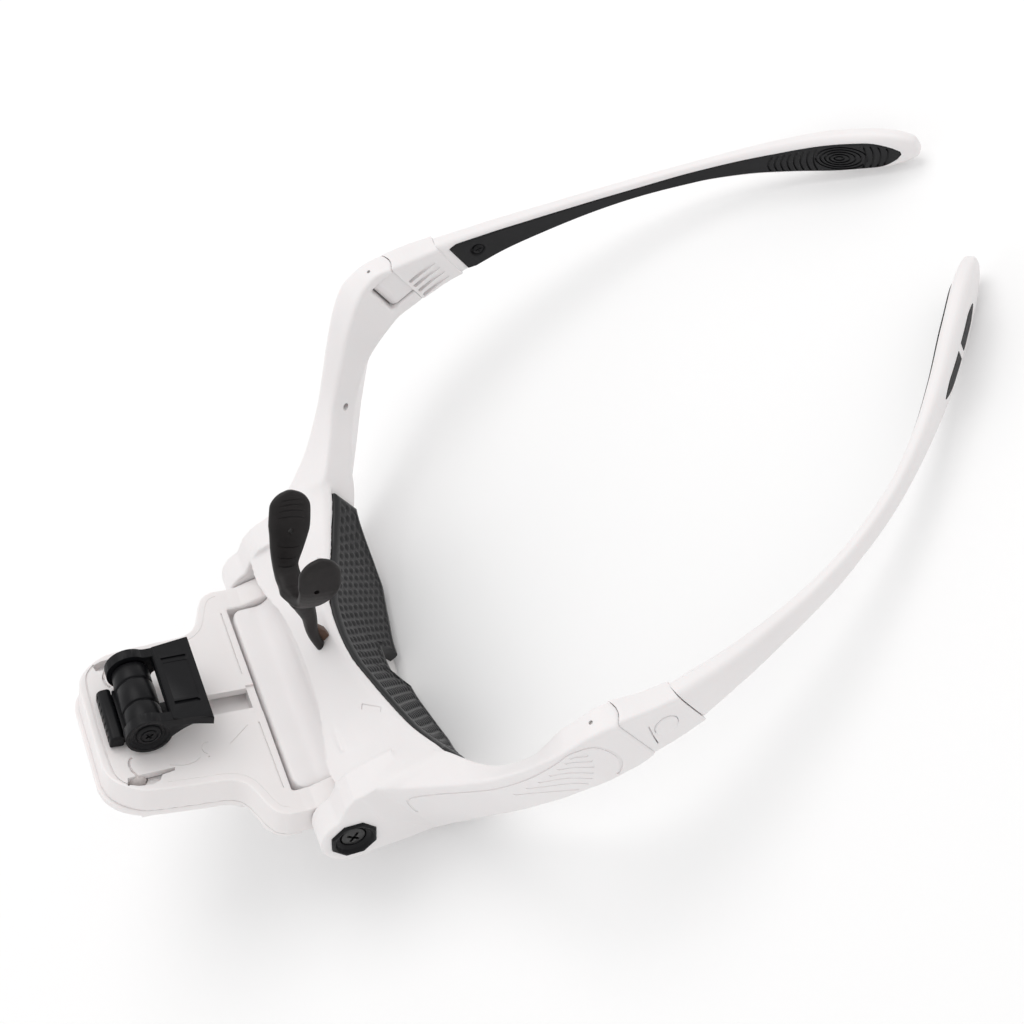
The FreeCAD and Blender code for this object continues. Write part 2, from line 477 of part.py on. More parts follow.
P0 = V(75.8, 16.4, -14.35)      # middle of the connector mouth


def tang(grow, back, fwd):
    """tang of the temple, lying in the inner half of the connector"""
    b = box(-1.9 - grow, 0.0 + grow, -back, fwd, -3.0 - grow, 3.0 + grow)
    b.translate(V(-0.45, 0, 0))
    b.rotate(O, X, -16.8)
    b.translate(P0)
    return b


con = con.cut(tang(0.15, PLUG_LEN + 0.3, 3.0))
BTN = (10.2, -12.45)
con = con.cut(cyl((75.95, BTN[0], BTN[1]), (1, 0, 0), 2.7, 6))
for k in range(3):
    con = con.cut(box(70.0, 72.7, 6.6, 13.4, -10.2 - 2.3 * k, -9.2 - 2.3 * k))
con = con.removeSplitter()
button = cyl((76.8, BTN[0], BTN[1]), (1, 0, 0), 2.62, 2.1)


def temple_row(t, a0, a1, w0, w1, c=0.0):
    y, x, z, th, h, roll = t
    i = TEMPLE.index(t)
    p, q = TEMPLE[max(i - 1, 0)], TEMPLE[min(i + 1, len(TEMPLE) - 1)]
    dx, dy = q[1] - p[1], q[0] - p[0]
    n = math.hypot(dx, dy)
    lat = V(dy / n, -dx / n, 0)
    r = math.radians(roll)
    w = V(0, 0, 1) * math.cos(r) + lat * math.sin(r)
    la = lat * math.cos(r) - V(0, 0, 1) * math.sin(r)
    ctr = V(x, y, z)
    q4 = [ctr + la * a + w * b for a, b in ((a0, w0), (a1, w0), (a1, w1), (a0, w1))]
    q4 = [(k.x, k.y, k.z) for k in q4]
    return cut_corners(q4, c) if c else q4


temple = loft([temple_row(t, -t[3] / 2, t[3] / 2, -t[4] / 2, t[4] / 2, min(0.8, t[3] * 0.22)) for t in TEMPLE])
temple = temple.fuse(tang(0.0, PLUG_LEN, 2.0))
GRIP = TEMPLE[1:12]


def grip_rows(proud):
    out = []
    for t in GRIP:
        i = TEMPLE.index(t)
        tipf = min(1.0, max(0.0, (t[0] - 76.0) / 20.0))
        rt = 1.1 + 0.3 * tipf + (0.5 if t[0] > 119 else 0)
        rb = 0.55 + 0.75 * tipf + (0.5 if t[0] > 119 else 0)
        depth = 1.3 if t[0] < 45 else 0.95
        out.append(temple_row(t, -t[3] / 2 - proud, -t[3] / 2 + depth, -t[4] / 2 + rb, t[4] / 2 - rt))
    return out


window = []
for y0, y1 in ((96.0, 104.4), (106.0, 114.2)):
    w = []
    for t in TEMPLE:
        if y0 - 12 < t[0] < y1 + 12:
            w.append(temple_row(t, -t[3] / 2 + 0.6, t[3] / 2 + 0.02, -1.6, 1.6))
    window.append(loft(w).common(box(0, 90, y0, y1, -60, 0)))
temple = temple.cut(loft(grip_rows(1.2)))
for w in window:
    temple = temple.cut(w)
hole = cyl((70, 23.5, -16.5), (1, 0, 0), 0.8, 6.2)
temple = temple.cut(hole).removeSplitter()
tgrip = loft(grip_rows(0.15))
for w in window:
    tgrip = tgrip.fuse(w)
tgrip = tgrip.cut(cyl((70, 23.5, -16.5), (1, 0, 0), 0.8, 8)).cut(cyl((70, 23.5, -16.5), (1, 0, 0), 1.6, 3.35)).removeSplitter()
tscrew = cyl((72.7, 23.5, -16.5), (1, 0, 0), 1.5, 0.6).fuse(cyl((73.1, 23.5, -16.5), (1, 0, 0), 0.77, 3.0))


def right(s):
    t = s.copy()
    t.rotate(V(PIN_X, 0, 0), Z, RIGHT_FOLD)
    return t


for n, s in (("connector", con), ("release_button", button), ("temple_arm", temple), ("temple_grip", tgrip), ("temple_screw", tscrew)):
    parts[n + "_right"] = right(s)
    parts[n + "_left"] = mirror(s)

# ---------------------------------------------------------------- lean, drop on the surface, write
placed = {}
bb = None
for n, s in parts.items():
    t = s.copy()
    t.rotate(O, X, TRIM)
    placed[n] = t
    b = t.optimalBoundingBox(False) if hasattr(t, "optimalBoundingBox") else t.BoundBox
    if bb is None:
        bb = FreeCAD.BoundBox(b)
    else:
        bb.add(b)
shift = V(-(bb.XMin + bb.XMax) / 2, -(bb.YMin + bb.YMax) / 2, -bb.ZMin)
print("SHIFT %.4f %.4f %.4f" % (shift.x, shift.y, shift.z), "SIZE %.2f %.2f %.2f" % (bb.XLength, bb.YLength, bb.ZLength))
for n, t in sorted(placed.items()):
    t.translate(shift)
    ok = t.isValid()
    print("%-20s solids %d vol %8.1f %s" % (n, len(t.Solids), t.Volume, "ok" if ok else "INVALID"))
    t.exportStep("parts/%s.step" % n)
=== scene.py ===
import bpy, bmesh, math
import numpy as np
from mathutils import Vector, Matrix


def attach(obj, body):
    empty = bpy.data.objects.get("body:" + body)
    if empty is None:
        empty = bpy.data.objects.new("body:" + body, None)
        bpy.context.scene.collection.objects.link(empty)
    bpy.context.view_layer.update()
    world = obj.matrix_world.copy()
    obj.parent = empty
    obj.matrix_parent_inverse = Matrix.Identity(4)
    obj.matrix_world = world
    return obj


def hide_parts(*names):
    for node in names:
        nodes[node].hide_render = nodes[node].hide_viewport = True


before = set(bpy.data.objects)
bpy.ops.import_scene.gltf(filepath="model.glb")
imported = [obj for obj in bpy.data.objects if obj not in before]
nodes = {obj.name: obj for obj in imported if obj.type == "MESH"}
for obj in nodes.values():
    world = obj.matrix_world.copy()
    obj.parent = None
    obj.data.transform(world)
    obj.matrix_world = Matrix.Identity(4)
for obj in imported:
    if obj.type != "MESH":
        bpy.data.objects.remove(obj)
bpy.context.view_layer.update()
scene = bpy.context.scene
rad = math.radians

# ------------------------------------------------------------------ frames of reference
# Shapes are drawn in millimetres in the wearer's symmetric frame and then carried to the row frame.
TRIM = -2.4
SHIFT = (0.4660, -4.9177, 42.8458)
PIN_X, FOLD = 74.0, 6.8
PY, PZ, PITCH = -70.3, -26.3, 42.4
ROW = Matrix.Scale(0.001, 4) @ Matrix.Translation(SHIFT) @ Matrix.Rotation(rad(TRIM), 4, "X")
LAMP = Matrix.Translation((0, PY, PZ)) @ Matrix.Rotation(rad(-PITCH), 4, "X")
SWING = Matrix.Translation((PIN_X, 0, 0)) @ Matrix.Rotation(rad(FOLD), 4, "Z") @ Matrix.Translation((-PIN_X, 0, 0))
MIRROR = Matrix.Scale(-1, 4, (1, 0, 0))
I4 = Matrix.Identity(4)


# ------------------------------------------------------------------ mesh tools
def new(name, verts, faces, merge=1e-4):
    me = bpy.data.meshes.new(name)
    me.from_pydata([tuple(float(c) for c in v) for v in verts], [], faces)
    bm = bmesh.new()
    bm.from_mesh(me)
    bmesh.ops.remove_doubles(bm, verts=bm.verts, dist=merge)
    bmesh.ops.dissolve_degenerate(bm, edges=bm.edges, dist=1e-5)
    bmesh.ops.recalc_face_normals(bm, faces=bm.faces)
    bm.to_mesh(me)
    bm.free()
    o = bpy.data.objects.new(name, me)
    scene.collection.objects.link(o)
    return o


def loft(name, rings, closed=False):
    n, m = len(rings), len(rings[0])
    verts = [p for r in rings for p in r]
    faces = []
    for i in range(n if closed else n - 1):
        a, b = i * m, ((i + 1) % n) * m
        for k in range(m):
            k2 = (k + 1) % m
            faces.append((a + k, a + k2, b + k2, b + k))
    if not closed:
        faces.append(tuple(range(m)))
        faces.append(tuple(range((n - 1) * m, n * m)))
    return new(name, verts, faces)


def prism_x(yz, x0, x1, name="t"):
    return loft(name, [[(x, a, b) for a, b in yz] for x in (x0, x1)])


def prism_z(xy, z0, z1, name="t"):
    return loft(name, [[(a, b, z) for a, b in xy] for z in (z0, z1)])


def box(x0, x1, y0, y1, z0, z1, name="t"):
    return prism_z([(x0, y0), (x1, y0), (x1, y1), (x0, y1)], z0, z1, name)


def basis(d):
    d = Vector(d).normalized()
    a = Vector((0, 0, 1)) if abs(d.z) < 0.9 else Vector((1, 0, 0))
    u = d.cross(a).normalized()
    return d, u, d.cross(u)


def lathe(name, p, d, prof, n=48, phase=0.0):
    """solid of revolution: prof is (radius, distance along d)"""
    d, u, w = basis(d)
    p = Vector(p)
    rings = [[p + d * h + (u * math.cos(t) + w * math.sin(t)) * max(r, 1e-3)
              for t in [phase + 2 * math.pi * k / n for k in range(n)]] for r, h in prof]
    return loft(name, rings)


def cyl(p, d, r, h, n=48, name="t"):
    return lathe(name, p, d, [(r, 0), (r, h)], n)


def bake(o):
    dg = bpy.context.evaluated_depsgraph_get()
    me = bpy.data.meshes.new_from_object(o.evaluated_get(dg), preserve_all_data_layers=False, depsgraph=dg)
    o.modifiers.clear()
    old = o.data
    o.data = me
    bpy.data.meshes.remove(old)
    return o


def drop(o):
    me = o.data
    bpy.data.objects.remove(o)
    bpy.data.meshes.remove(me)


def boolean(o, tool, op):
    before = len(o.data.polygons)
    for solver in ("MANIFOLD", "EXACT"):
        m = o.modifiers.new("b", "BOOLEAN")
        m.operation, m.object, m.solver = op, tool, solver
        dg = bpy.context.evaluated_depsgraph_get()
        me = bpy.data.meshes.new_from_object(o.evaluated_get(dg), preserve_all_data_layers=False, depsgraph=dg)
        o.modifiers.clear()
        if len(me.polygons) > 3 and not (solver == "MANIFOLD" and len(me.polygons) == before):
            break
    old = o.data
    o.data = me
    bpy.data.meshes.remove(old)
    drop(tool)
    return o


def cut(o, *tools):
    for t in tools:
        boolean(o, t, "DIFFERENCE")
    return o


def add(o, *tools):
    for t in tools:
        boolean(o, t, "UNION")
    return o


def keep(o, tool):
    return boolean(o, tool, "INTERSECT")


def merge(o, *others):
    """puts separate closed shells into one mesh"""
    bm = bmesh.new()
    bm.from_mesh(o.data)
    for t in others:
        bm.from_mesh(t.data)
        drop(t)
    bm.to_mesh(o.data)
    bm.free()
    return o


def move(o, m):
    o.data.transform(m)
    if m.determinant() < 0:
        o.data.flip_normals()
    return o


def copy(o, name="t"):
    c = bpy.data.objects.new(name, o.data.copy())
    scene.collection.objects.link(c)
    return c


def soft(o, size, smooth=4, factor=0.5):
    """re-skins a solid at an even mesh size and rounds its edges"""
    m = o.modifiers.new("r", "REMESH")
    m.mode, m.voxel_size, m.adaptivity = "VOXEL", size, 0.0
    if smooth:
        s = o.modifiers.new("s", "SMOOTH")
        s.factor, s.iterations = factor, smooth
    return bake(o)


def bevel(o, width, segs=2, angle=35):
    b = o.modifiers.new("b", "BEVEL")
    b.width, b.segments, b.limit_method, b.angle_limit = width, segs, "ANGLE", rad(angle)
    b.use_clamp_overlap = True
    return bake(o)


def subdiv(o, n):
    s = o.modifiers.new("s", "SUBSURF")
    s.levels = s.render_levels = n
    return bake(o)


def pchip(xs, ys):
    """monotone cubic through the points"""
    xs, ys = np.array(xs, float), np.array(ys, float)
    h = np.diff(xs)
    dl = np.diff(ys) / h
    d = np.zeros(len(xs))
    for i in range(1, len(xs) - 1):
        if dl[i - 1] * dl[i] > 0:
            w1, w2 = 2 * h[i] + h[i - 1], h[i] + 2 * h[i - 1]
            d[i] = (w1 + w2) / (w1 / dl[i - 1] + w2 / dl[i])
    d[0], d[-1] = dl[0], dl[-1]

    def f(x):
        i = int(min(max(np.searchsorted(xs, x) - 1, 0), len(h) - 1))
        t = (x - xs[i]) / h[i]
        return float((2 * t ** 3 - 3 * t ** 2 + 1) * ys[i] + (t ** 3 - 2 * t ** 2 + t) * h[i] * d[i]
                     + (-2 * t ** 3 + 3 * t ** 2) * ys[i + 1] + (t ** 3 - t ** 2) * h[i] * d[i + 1])
    return f


def catmull(pts, per=8, closed=False):
    """smooth curve through 2-D or 3-D points"""
    P = [np.array(p, float) for p in pts]
    n = len(P)
    out = []
    for i in range(n if closed else n - 1):
        p0 = P[(i - 1) % n] if closed or i else 2 * P[0] - P[1]
        p1, p2 = P[i], P[(i + 1) % n]
        p3 = P[(i + 2) % n] if closed or i + 2 < n else 2 * P[-1] - P[-2]
        for k in range(per):
            t = k / per
            out.append(0.5 * ((2 * p1) + (-p0 + p2) * t + (2 * p0 - 5 * p1 + 4 * p2 - p3) * t * t + (-p0 + 3 * p1 - 3 * p2 + p3) * t ** 3))
    if not closed:
        out.append(P[-1])
    return out


def round_poly(pts, r, n=5):
    """2-D polygon with corners rounded by r (a number or one per corner)"""
    P = [np.array(p, float) for p in pts]
    out = []
    for i, p in enumerate(P):
        a, b = P[i - 1], P[(i + 1) % len(P)]
        ri = r[i] if isinstance(r, (list, tuple)) else r
        da, db = a - p, b - p
        la, lb = np.linalg.norm(da), np.linalg.norm(db)
        k = min(ri, la * 0.45, lb * 0.45)
        if k <= 1e-6:
            out.append(tuple(p))
            continue
        q0, q1 = p + da / la * k, p + db / lb * k
        for j in range(n + 1):
            t = j / n
            q = (1 - t) ** 2 * q0 + 2 * t * (1 - t) * p + t * t * q1
            out.append(tuple(q))
    return out


def ribbon(path, w, normal, depth_up, depth_dn, name="t"):
    """a thin bar following a 3-D path: used for grooves"""
    path = [Vector(p) for p in path]
    rings = []
    for i, p in enumerate(path):
        d = (path[min(i + 1, len(path) - 1)] - path[max(i - 1, 0)]).normalized()
        nn = Vector(normal[i]) if isinstance(normal, list) else Vector(normal)
        s = d.cross(nn).normalized()
        nn = s.cross(d).normalized()
        rings.append([p + s * (w / 2) + nn * depth_up, p - s * (w / 2) + nn * depth_up,
                      p - s * (w / 2) - nn * depth_dn, p + s * (w / 2) - nn * depth_dn])
    return loft(name, rings)


# ------------------------------------------------------------------ materials
def material(name, base, rough=0.45, metallic=0.0, spec=0.5, noise=(900, 0.03), bump=(2200, 0.00002), tint=None,
             coat=0.0, sheen=0.0, trans=0.0, ior=1.46, edge=0.0, sss=0.0):
    m = bpy.data.materials.new(name)
    m.use_nodes = True
    nt = m.node_tree
    N, L = nt.nodes, nt.links
    b = N["Principled BSDF"]
    b.inputs["Metallic"].default_value = metallic
    b.inputs["Specular IOR Level"].default_value = spec
    b.inputs["IOR"].default_value = ior
    b.inputs["Coat Weight"].default_value = coat
    b.inputs["Sheen Weight"].default_value = sheen
    b.inputs["Transmission Weight"].default_value = trans
    if sss:
        b.inputs["Subsurface Weight"].default_value = sss
        b.inputs["Subsurface Radius"].default_value = (1.0, 0.75, 0.7)
        b.inputs["Subsurface Scale"].default_value = 0.0008
    tc = N.new("ShaderNodeTexCoord")
    big = N.new("ShaderNodeTexNoise")
    big.inputs["Scale"].default_value = noise[0]
    big.inputs["Detail"].default_value = 5
    L.new(tc.outputs["Object"], big.inputs["Vector"])
    ramp = N.new("ShaderNodeValToRGB")
    dark = [c * (1 - noise[1]) for c in base]
    light = [min(1, c * (1 + noise[1] * 0.7)) for c in (tint or base)]
    ramp.color_ramp.elements[0].position, ramp.color_ramp.elements[1].position = 0.3, 0.7
    ramp.color_ramp.elements[0].color = (*dark, 1)
    ramp.color_ramp.elements[1].color = (*light, 1)
    L.new(big.outputs["Fac"], ramp.inputs["Fac"])
    out = ramp.outputs["Color"]
    if edge:
        g = N.new("ShaderNodeNewGeometry")
        er = N.new("ShaderNodeValToRGB")
        er.color_ramp.elements[0].position, er.color_ramp.elements[1].position = 0.5, 0.6
        L.new(g.outputs["Pointiness"], er.inputs["Fac"])
        mx = N.new("ShaderNodeMixRGB")
        mx.blend_type = "ADD"
        mx.inputs["Color2"].default_value = (edge, edge, edge, 1)
        L.new(er.outputs["Color"], mx.inputs["Fac"])
        L.new(out, mx.inputs["Color1"])
        out = mx.outputs["Color"]
    L.new(out, b.inputs["Base Color"])
    fine = N.new("ShaderNodeTexNoise")
    fine.inputs["Scale"].default_value = bump[0]
    fine.inputs["Detail"].default_value = 3
    L.new(tc.outputs["Object"], fine.inputs["Vector"])
    rr = N.new("ShaderNodeMapRange")
    rr.inputs["To Min"].default_value, rr.inputs["To Max"].default_value = rough - 0.05, rough + 0.06
    L.new(fine.outputs["Fac"], rr.inputs["Value"])
    L.new(rr.outputs["Result"], b.inputs["Roughness"])
    bp = N.new("ShaderNodeBump")
    bp.inputs["Distance"].default_value = bump[1]
    bp.inputs["Strength"].default_value = 0.6
    L.new(fine.outputs["Fac"], bp.inputs["Height"])
    L.new(bp.outputs["Normal"], b.inputs["Normal"])
    return m


WHITE = material("white_satin", (0.825, 0.80, 0.80), 0.42, noise=(60, 0.015), bump=(2600, 0.000015), sss=0.15)
WHITE2 = material("white_lamp", (0.825, 0.795, 0.79), 0.40, noise=(70, 0.015), bump=(2600, 0.000015), sss=0.15)
CARRIER = material("white_carrier", (0.76, 0.74, 0.73), 0.5, noise=(120, 0.02))
BLACK = material("black_moulded", (0.006, 0.006, 0.007), 0.42, noise=(500, 0.12), bump=(2500, 0.00003), spec=0.2)
BLACK2 = material("black_nylon", (0.005, 0.005, 0.006), 0.36, noise=(500, 0.12), bump=(3000, 0.00003), spec=0.2)
RUBBER = material("nose_rubber", (0.012, 0.010, 0.010), 0.5, noise=(350, 0.2), bump=(1500, 0.00004), spec=0.32)
AMBER = material("nose_rib", (0.085, 0.045, 0.028), 0.45, noise=(350, 0.2), bump=(1500, 0.00004), spec=0.32)
GRIP = material("grip_rubber", (0.008, 0.008, 0.009), 0.5, noise=(300, 0.12), bump=(2400, 0.00003), spec=0.28)
FOAM = material("pad_foam", (0.008, 0.008, 0.009), 0.34, noise=(700, 0.2), bump=(3500, 0.00006), spec=0.45)
STEEL = material("screw_steel", (0.42, 0.41, 0.40), 0.32, metallic=1.0, noise=(900, 0.1), bump=(4000, 0.00001))
DARKSTEEL = material("dark_screw", (0.06, 0.06, 0.06), 0.34, metallic=1.0, noise=(900, 0.1), bump=(4000, 0.00001))
CELL = material("cell_steel", (0.62, 0.61, 0.60), 0.28, metallic=1.0, noise=(400, 0.06), bump=(3000, 0.00001))
BRASS = material("contact_brass", (0.72, 0.55, 0.27), 0.3, metallic=1.0, noise=(500, 0.08), bump=(3000, 0.00001))
BOARD = material("board", (0.03, 0.14, 0.06), 0.45, noise=(250, 0.1), bump=(2500, 0.00001))
CLEAR = material("led_clear", (0.93, 0.86, 0.84), 0.12, noise=(300, 0.01), bump=(2000, 0.000004), trans=0.4, ior=1.5)


def finish(o, name, body, mat, mats=(), to=I4, replaces=(), angle=35):
    """gives a drawn piece its place, body and finish"""
    o.name = o.data.name = name
    move(o, ROW @ to)
    o.data.materials.clear()
    o.data.materials.append(mat)
    o.data.shade_smooth()
    if angle:
        o.data.set_sharp_from_angle(angle=rad(angle))
    if replaces:
        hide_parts(*replaces)
    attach(o, body)
    return o


# ------------------------------------------------------------------ section tables (mm)
BROW = [
    (0.0, -61.7, -16.5, -50.4, -14.4, -44.0, -61.5, -44.4),
    (8.0, -62.0, -16.5, -49.9, -14.6, -44.0, -61.5, -44.4),
    (16.0, -63.0, -16.8, -48.5, -16.2, -44.0, -61.5, -44.4),
    (24.0, -65.3, -17.4, -46.9, -18.6, -44.0, -61.5, -44.4),
    (30.0, -66.3, -17.1, -45.3, -19.8, -41.5, -61.5, -44.3),
    (36.0, -65.0, -15.8, -42.8, -19.9, -36.5, -61.0, -44.0),
    (40.0, -62.6, -15.1, -40.8, -19.4, -33.0, -59.0, -43.3),
    (44.0, -60.0, -15.4, -39.0, -18.2, -31.0, -56.5, -42.2),
]
LIP_T, WALL_BACK, CARRIER_T = 2.2, 3.2, 1.2
ARM = [
    (39.0, -61.0, 40.0, -43.5, -16.2, -20.0, -33.0, -42.6),
    (44.0, -56.5, 43.8, -39.2, -15.9, -18.2, -31.0, -42.2),
    (47.2, -51.3, 46.8, -36.9, -17.1, -17.5, -29.4, -40.9),
    (53.4, -42.2, 50.1, -34.6, -16.25, -16.95, -26.85, -37.25),
    (57.6, -36.7, 54.0, -31.7, -14.75, -15.95, -24.95, -34.35),
    (61.65, -31.5, 58.15, -28.1, -12.75, -14.25, -22.75, -31.25),
    (66.1, -25.5, 61.7, -23.8, -9.35, -12.45, -20.25, -27.35),
    (70.4, -19.4, 64.5, -19.6, -5.65, -10.45, -18.65, -23.65),
    (73.9, -13.7, 67.0, -14.9, -2.45, -7.45, -17.25, -20.35),
    (75.8, -10.0, 68.3, -10.8, -0.85, -4.75, -16.55, -18.95),
    (76.8, -7.0, 69.4, -6.8, -0.05, -2.35, -16.15, -18.55),
    (77.4, -2.9, 70.6, -2.9, 0.05, -1.15, -16.05, -18.65),
    (77.8, 0.9, 71.0, 0.9, -0.75, -0.65, -16.45, -18.85),
    (77.9, 4.3, 71.0, 4.3, -1.95, -1.75, -16.65, -18.55),
    (78.05, 6.4, 71.3, 6.4, -2.9, -2.95, -17.0, -18.6),
]
TEMPLE = [
    (16.4, 75.8, -14.35, 5.7, 12.5, 0.0),
    (22.0, 75.4, -16.05, 5.1, 10.9, 0.0),
    (28.0, 74.8, -17.8, 4.7, 9.3, 0.0),
    (40.0, 72.7, -21.3, 3.9, 7.3, 0.0),
    (52.0, 70.0, -24.6, 3.3, 5.9, 0.0),
    (64.0, 66.1, -27.3, 3.0, 5.2, 3.0),
    (76.0, 60.9, -29.4, 3.0, 5.4, 8.0),
    (88.0, 53.9, -30.7, 3.4, 7.0, 11.0),
    (98.0, 46.7, -31.5, 4.2, 9.2, 12.0),
    (108.0, 38.4, -32.0, 4.8, 11.0, 12.0),
    (115.0, 32.2, -32.4, 4.8, 10.6, 11.0),
    (120.0, 27.8, -32.7, 4.0, 8.0, 10.0),
    (122.6, 25.5, -32.9, 2.8, 4.6, 10.0),
]

# ------------------------------------------------------------------ front frame
bx = [-b[0] for b in reversed(BROW[1:])] + [b[0] for b in BROW]
bf = [pchip(bx, [b[k] for b in reversed(BROW[1:])] + [b[k] for b in BROW]) for k in range(1, 8)]


def brow_at(x):
    return [f(x) for f in bf]


def brow_ring(x):
    yc, zc, yl, zl, zb, yf, zf = brow_at(x)
    yr = yl - WALL_BACK
    # the top face is very slightly crowned, the crest is full
    ym, zm = (yc * 0.55 + yl * 0.45), (zc * 0.55 + zl * 0.45) + 0.25
    return [(x, yc, zc), (x, ym, zm), (x, yl - 1.2, zl + 0.05), (x, yl, zl - 0.9), (x, yl, zl - LIP_T), (x, yr, zl - LIP_T),
            (x, yr, zb), (x, yf, zf), (x, -62.4, -26.0)]


body = loft("frame", [brow_ring(x) for x in np.linspace(-44, 44, 67)])
arc = [(PY + 9.8 * math.cos(t), PZ + 9.8 * math.sin(t)) for t in [rad(122.1 + i * (228 - 122.1) / 24) for i in range(25)]]
trough = catmull([(-61.0, -17.1), (-63.2, -18.4), (-65.6, -20.9), (-68.2, -21.9), (-70.8, -21.5), (-73.4, -19.6)], 5)
nose = [tuple(p) for p in trough] + arc + [(-61.5, -44.2), (-57.0, -44.2), (-57.0, -20.0)]


def nose_ring(x, k):
    out = []
    for y, z in nose:
        w = min(1, max(0, (-61.5 - y) / 3.0))
        kk = 1 - (1 - k) * w
        out.append((x, PY + (y - PY) * kk, PZ + (z - PZ) * kk))
    return out


ends = [(0.0, 0.74), (0.35, 0.84), (1.0, 0.92), (1.9, 0.97), (3.0, 0.993), (4.2, 1.0)]
nr = [nose_ring(-28.5 + a, k) for a, k in ends] + [nose_ring(x, 1.0) for x in np.linspace(-22, 22, 9)] \
    + [nose_ring(28.5 - a, k) for a, k in reversed(ends)]
block = loft("nose", nr)
plate = [(PY + 7.8 * math.cos(rad(a)), PZ + 7.8 * math.sin(rad(a))) for a in range(80, 264, 4)]
plate += [(-65.4, -37.8), (-56.5, -42.3), (-50.0, -38.2), (-50.0, -17.6), (-56.5, -15.9), (-61.5, -15.1), (-64.6, -15.8), (-67.2, -17.5)]
shell = [block]
for s in (1, -1):
    p = prism_x(plate, 35.8, 43.8)
    if s < 0:
        move(p, MIRROR)
    shell.append(p)
af = [pchip(range(len(ARM)), [a[k] for a in ARM]) for k in range(8)]


def arm_at(t):
    xo, yo, xi, yi, zto, zti, zbi, zbo = [f(t) for f in af]
    return np.array((xo, yo, zto)), np.array((xi, yi, zti)), np.array((xi, yi, zbi)), np.array((xo, yo, zbo))


def arm_ring(t):
    To, Ti, Bi, Bo = arm_at(t)
    q = [To, Ti, Bi, Bo]
    out = []
    for i in range(4):
        a, b, d = q[i - 1], q[i], q[(i + 1) % 4]
        ea, ed = a - b, d - b
        c = 1.1
        p0, p1 = b + ea * min(c / np.linalg.norm(ea), 0.4), b + ed * min(c / np.linalg.norm(ed), 0.4)
        for j in range(4):
            w = j / 3
            out.append((1 - w) ** 2 * p0 + 2 * w * (1 - w) * b + w * w * p1)
    return out


arm = loft("arm", [arm_ring(t) for t in np.linspace(0, len(ARM) - 1, 79)])
# hinge knee with the slot for the tongue, open to the inner side
arm = cut(arm, cut(box(PIN_X - 12, PIN_X + 12, 0, 12, -30, 10), cyl((PIN_X, 0, -31), (0, 0, 1), 5.5, 42, 96)))
arm = cut(arm, cyl((PIN_X, 0, -12.9), (0, 0, 1), 2.6, 9.6, 64),
          keep(box(PIN_X - 12, PIN_X + 2.1, -2.6, 12, -12.9, -3.3), cyl((PIN_X, 0, -14), (0, 0, 1), 6.3, 12, 64)))
shell += [copy(arm, "arm2"), move(arm, MIRROR)]
body = merge(body, *shell)
body = soft(body, 0.36, 7)
A, B, C, D = (-75.6, -34.45), (-62.5, -43.17), (-61.4, -41.5), (-74.5, -32.8)
cavity = [(-57.2, -19.6), (-60.9, -20.2), (-63.5, -22.6), (-66.5, -24.4), (-70.4, -24.3), (-73.6, -22.8), (-76.6, -22.6),
          (-78.0, -26.3), (-77.3, -29.6), D, C, (-57.2, -41.8)]
tools = [prism_x(cavity, -26.4, 26.4), prism_x([(-76.5, -35.2), (-62.0, -44.9), B, C, D, A], -26.4, 26.4),
         box(-2.1, 2.1, -57.0, -54.4, -24, -15.65)]
octo = lambda x0, x1, r: prism_x([(PY + r * math.cos(rad(22.5 + 45 * i - 36)), PZ + r * math.sin(rad(22.5 + 45 * i - 36))) for i in range(8)], x0, x1)
for s in (1, -1):
    t = [octo(41.8, 46, 5.74), cyl((35.0, PY, PZ), (1, 0, 0), 1.56, 8), cyl((PIN_X, 0, -17), (0, 0, 1), 1.0, 16.0, 32), cyl((PIN_X, 0, -2.5), (0, 0, 1), 0.48, 12, 24),
         cyl((58.5, -26.4, -18.2), (1, 0, 0), 0.8, 4.0, 24)]
    for k in t:
        tools.append(move(k, MIRROR) if s < 0 else k)
for t in tools:
    body = cut(body, t)


# grip panel on the outer side of each arm: a groove round its outline and shallow rib grooves
def arm_out(t, w):
    To, Ti, Bi, Bo = arm_at(t + 1)
    return Bo + (To - Bo) * w


def arm_nrm(t, w):
    a = arm_out(t + 0.05, w) - arm_out(t - 0.05, w)
    b = arm_out(t, w + 0.05) - arm_out(t, w - 0.05)
    n = np.cross(a, b)
    n /= np.linalg.norm(n)
    return n if n[0] > 0 else -n


panel = catmull([(0.2, 0.42), (0.45, 0.62), (0.8, 0.76), (1.5, 0.80), (2.6, 0.79), (3.7, 0.775), (5.0, 0.77), (6.0, 0.80), (7.2, 0.86),
                 (8.6, 0.93), (9.5, 0.90), (10.2, 0.78), (10.48, 0.5), (10.2, 0.25), (9.6, 0.10)], 6)
lines = []
gp = [arm_out(*p) for p in panel]
gn = [arm_nrm(*p) for p in panel]
lines.append(ribbon([p for p in gp], 0.75, gn, 1.0, 0.22))
for (t0, w0), (t1, w1) in (((8.6, 0.84), (9.5, 0.72)), ((8.0, 0.79), (9.4, 0.59)), ((7.25, 0.73), (9.2, 0.47)), ((6.6, 0.67), (8.8, 0.35)),
                           ((5.95, 0.62), (8.3, 0.25)), ((5.25, 0.57), (7.7, 0.17)), ((4.5, 0.5), (6.9, 0.12))):
    q = [(t0 + (t1 - t0) * k / 10, w0 + (w1 - w0) * k / 10 + 0.04 * math.sin(math.pi * k / 10)) for k in range(11)]
    lines.append(ribbon([arm_out(*p) for p in q], 0.8, [arm_nrm(*p) for p in q], 1.0, 0.14))
for ln in lines:
    body = cut(body, copy(ln, "g"))
    body = cut(body, move(ln, MIRROR))


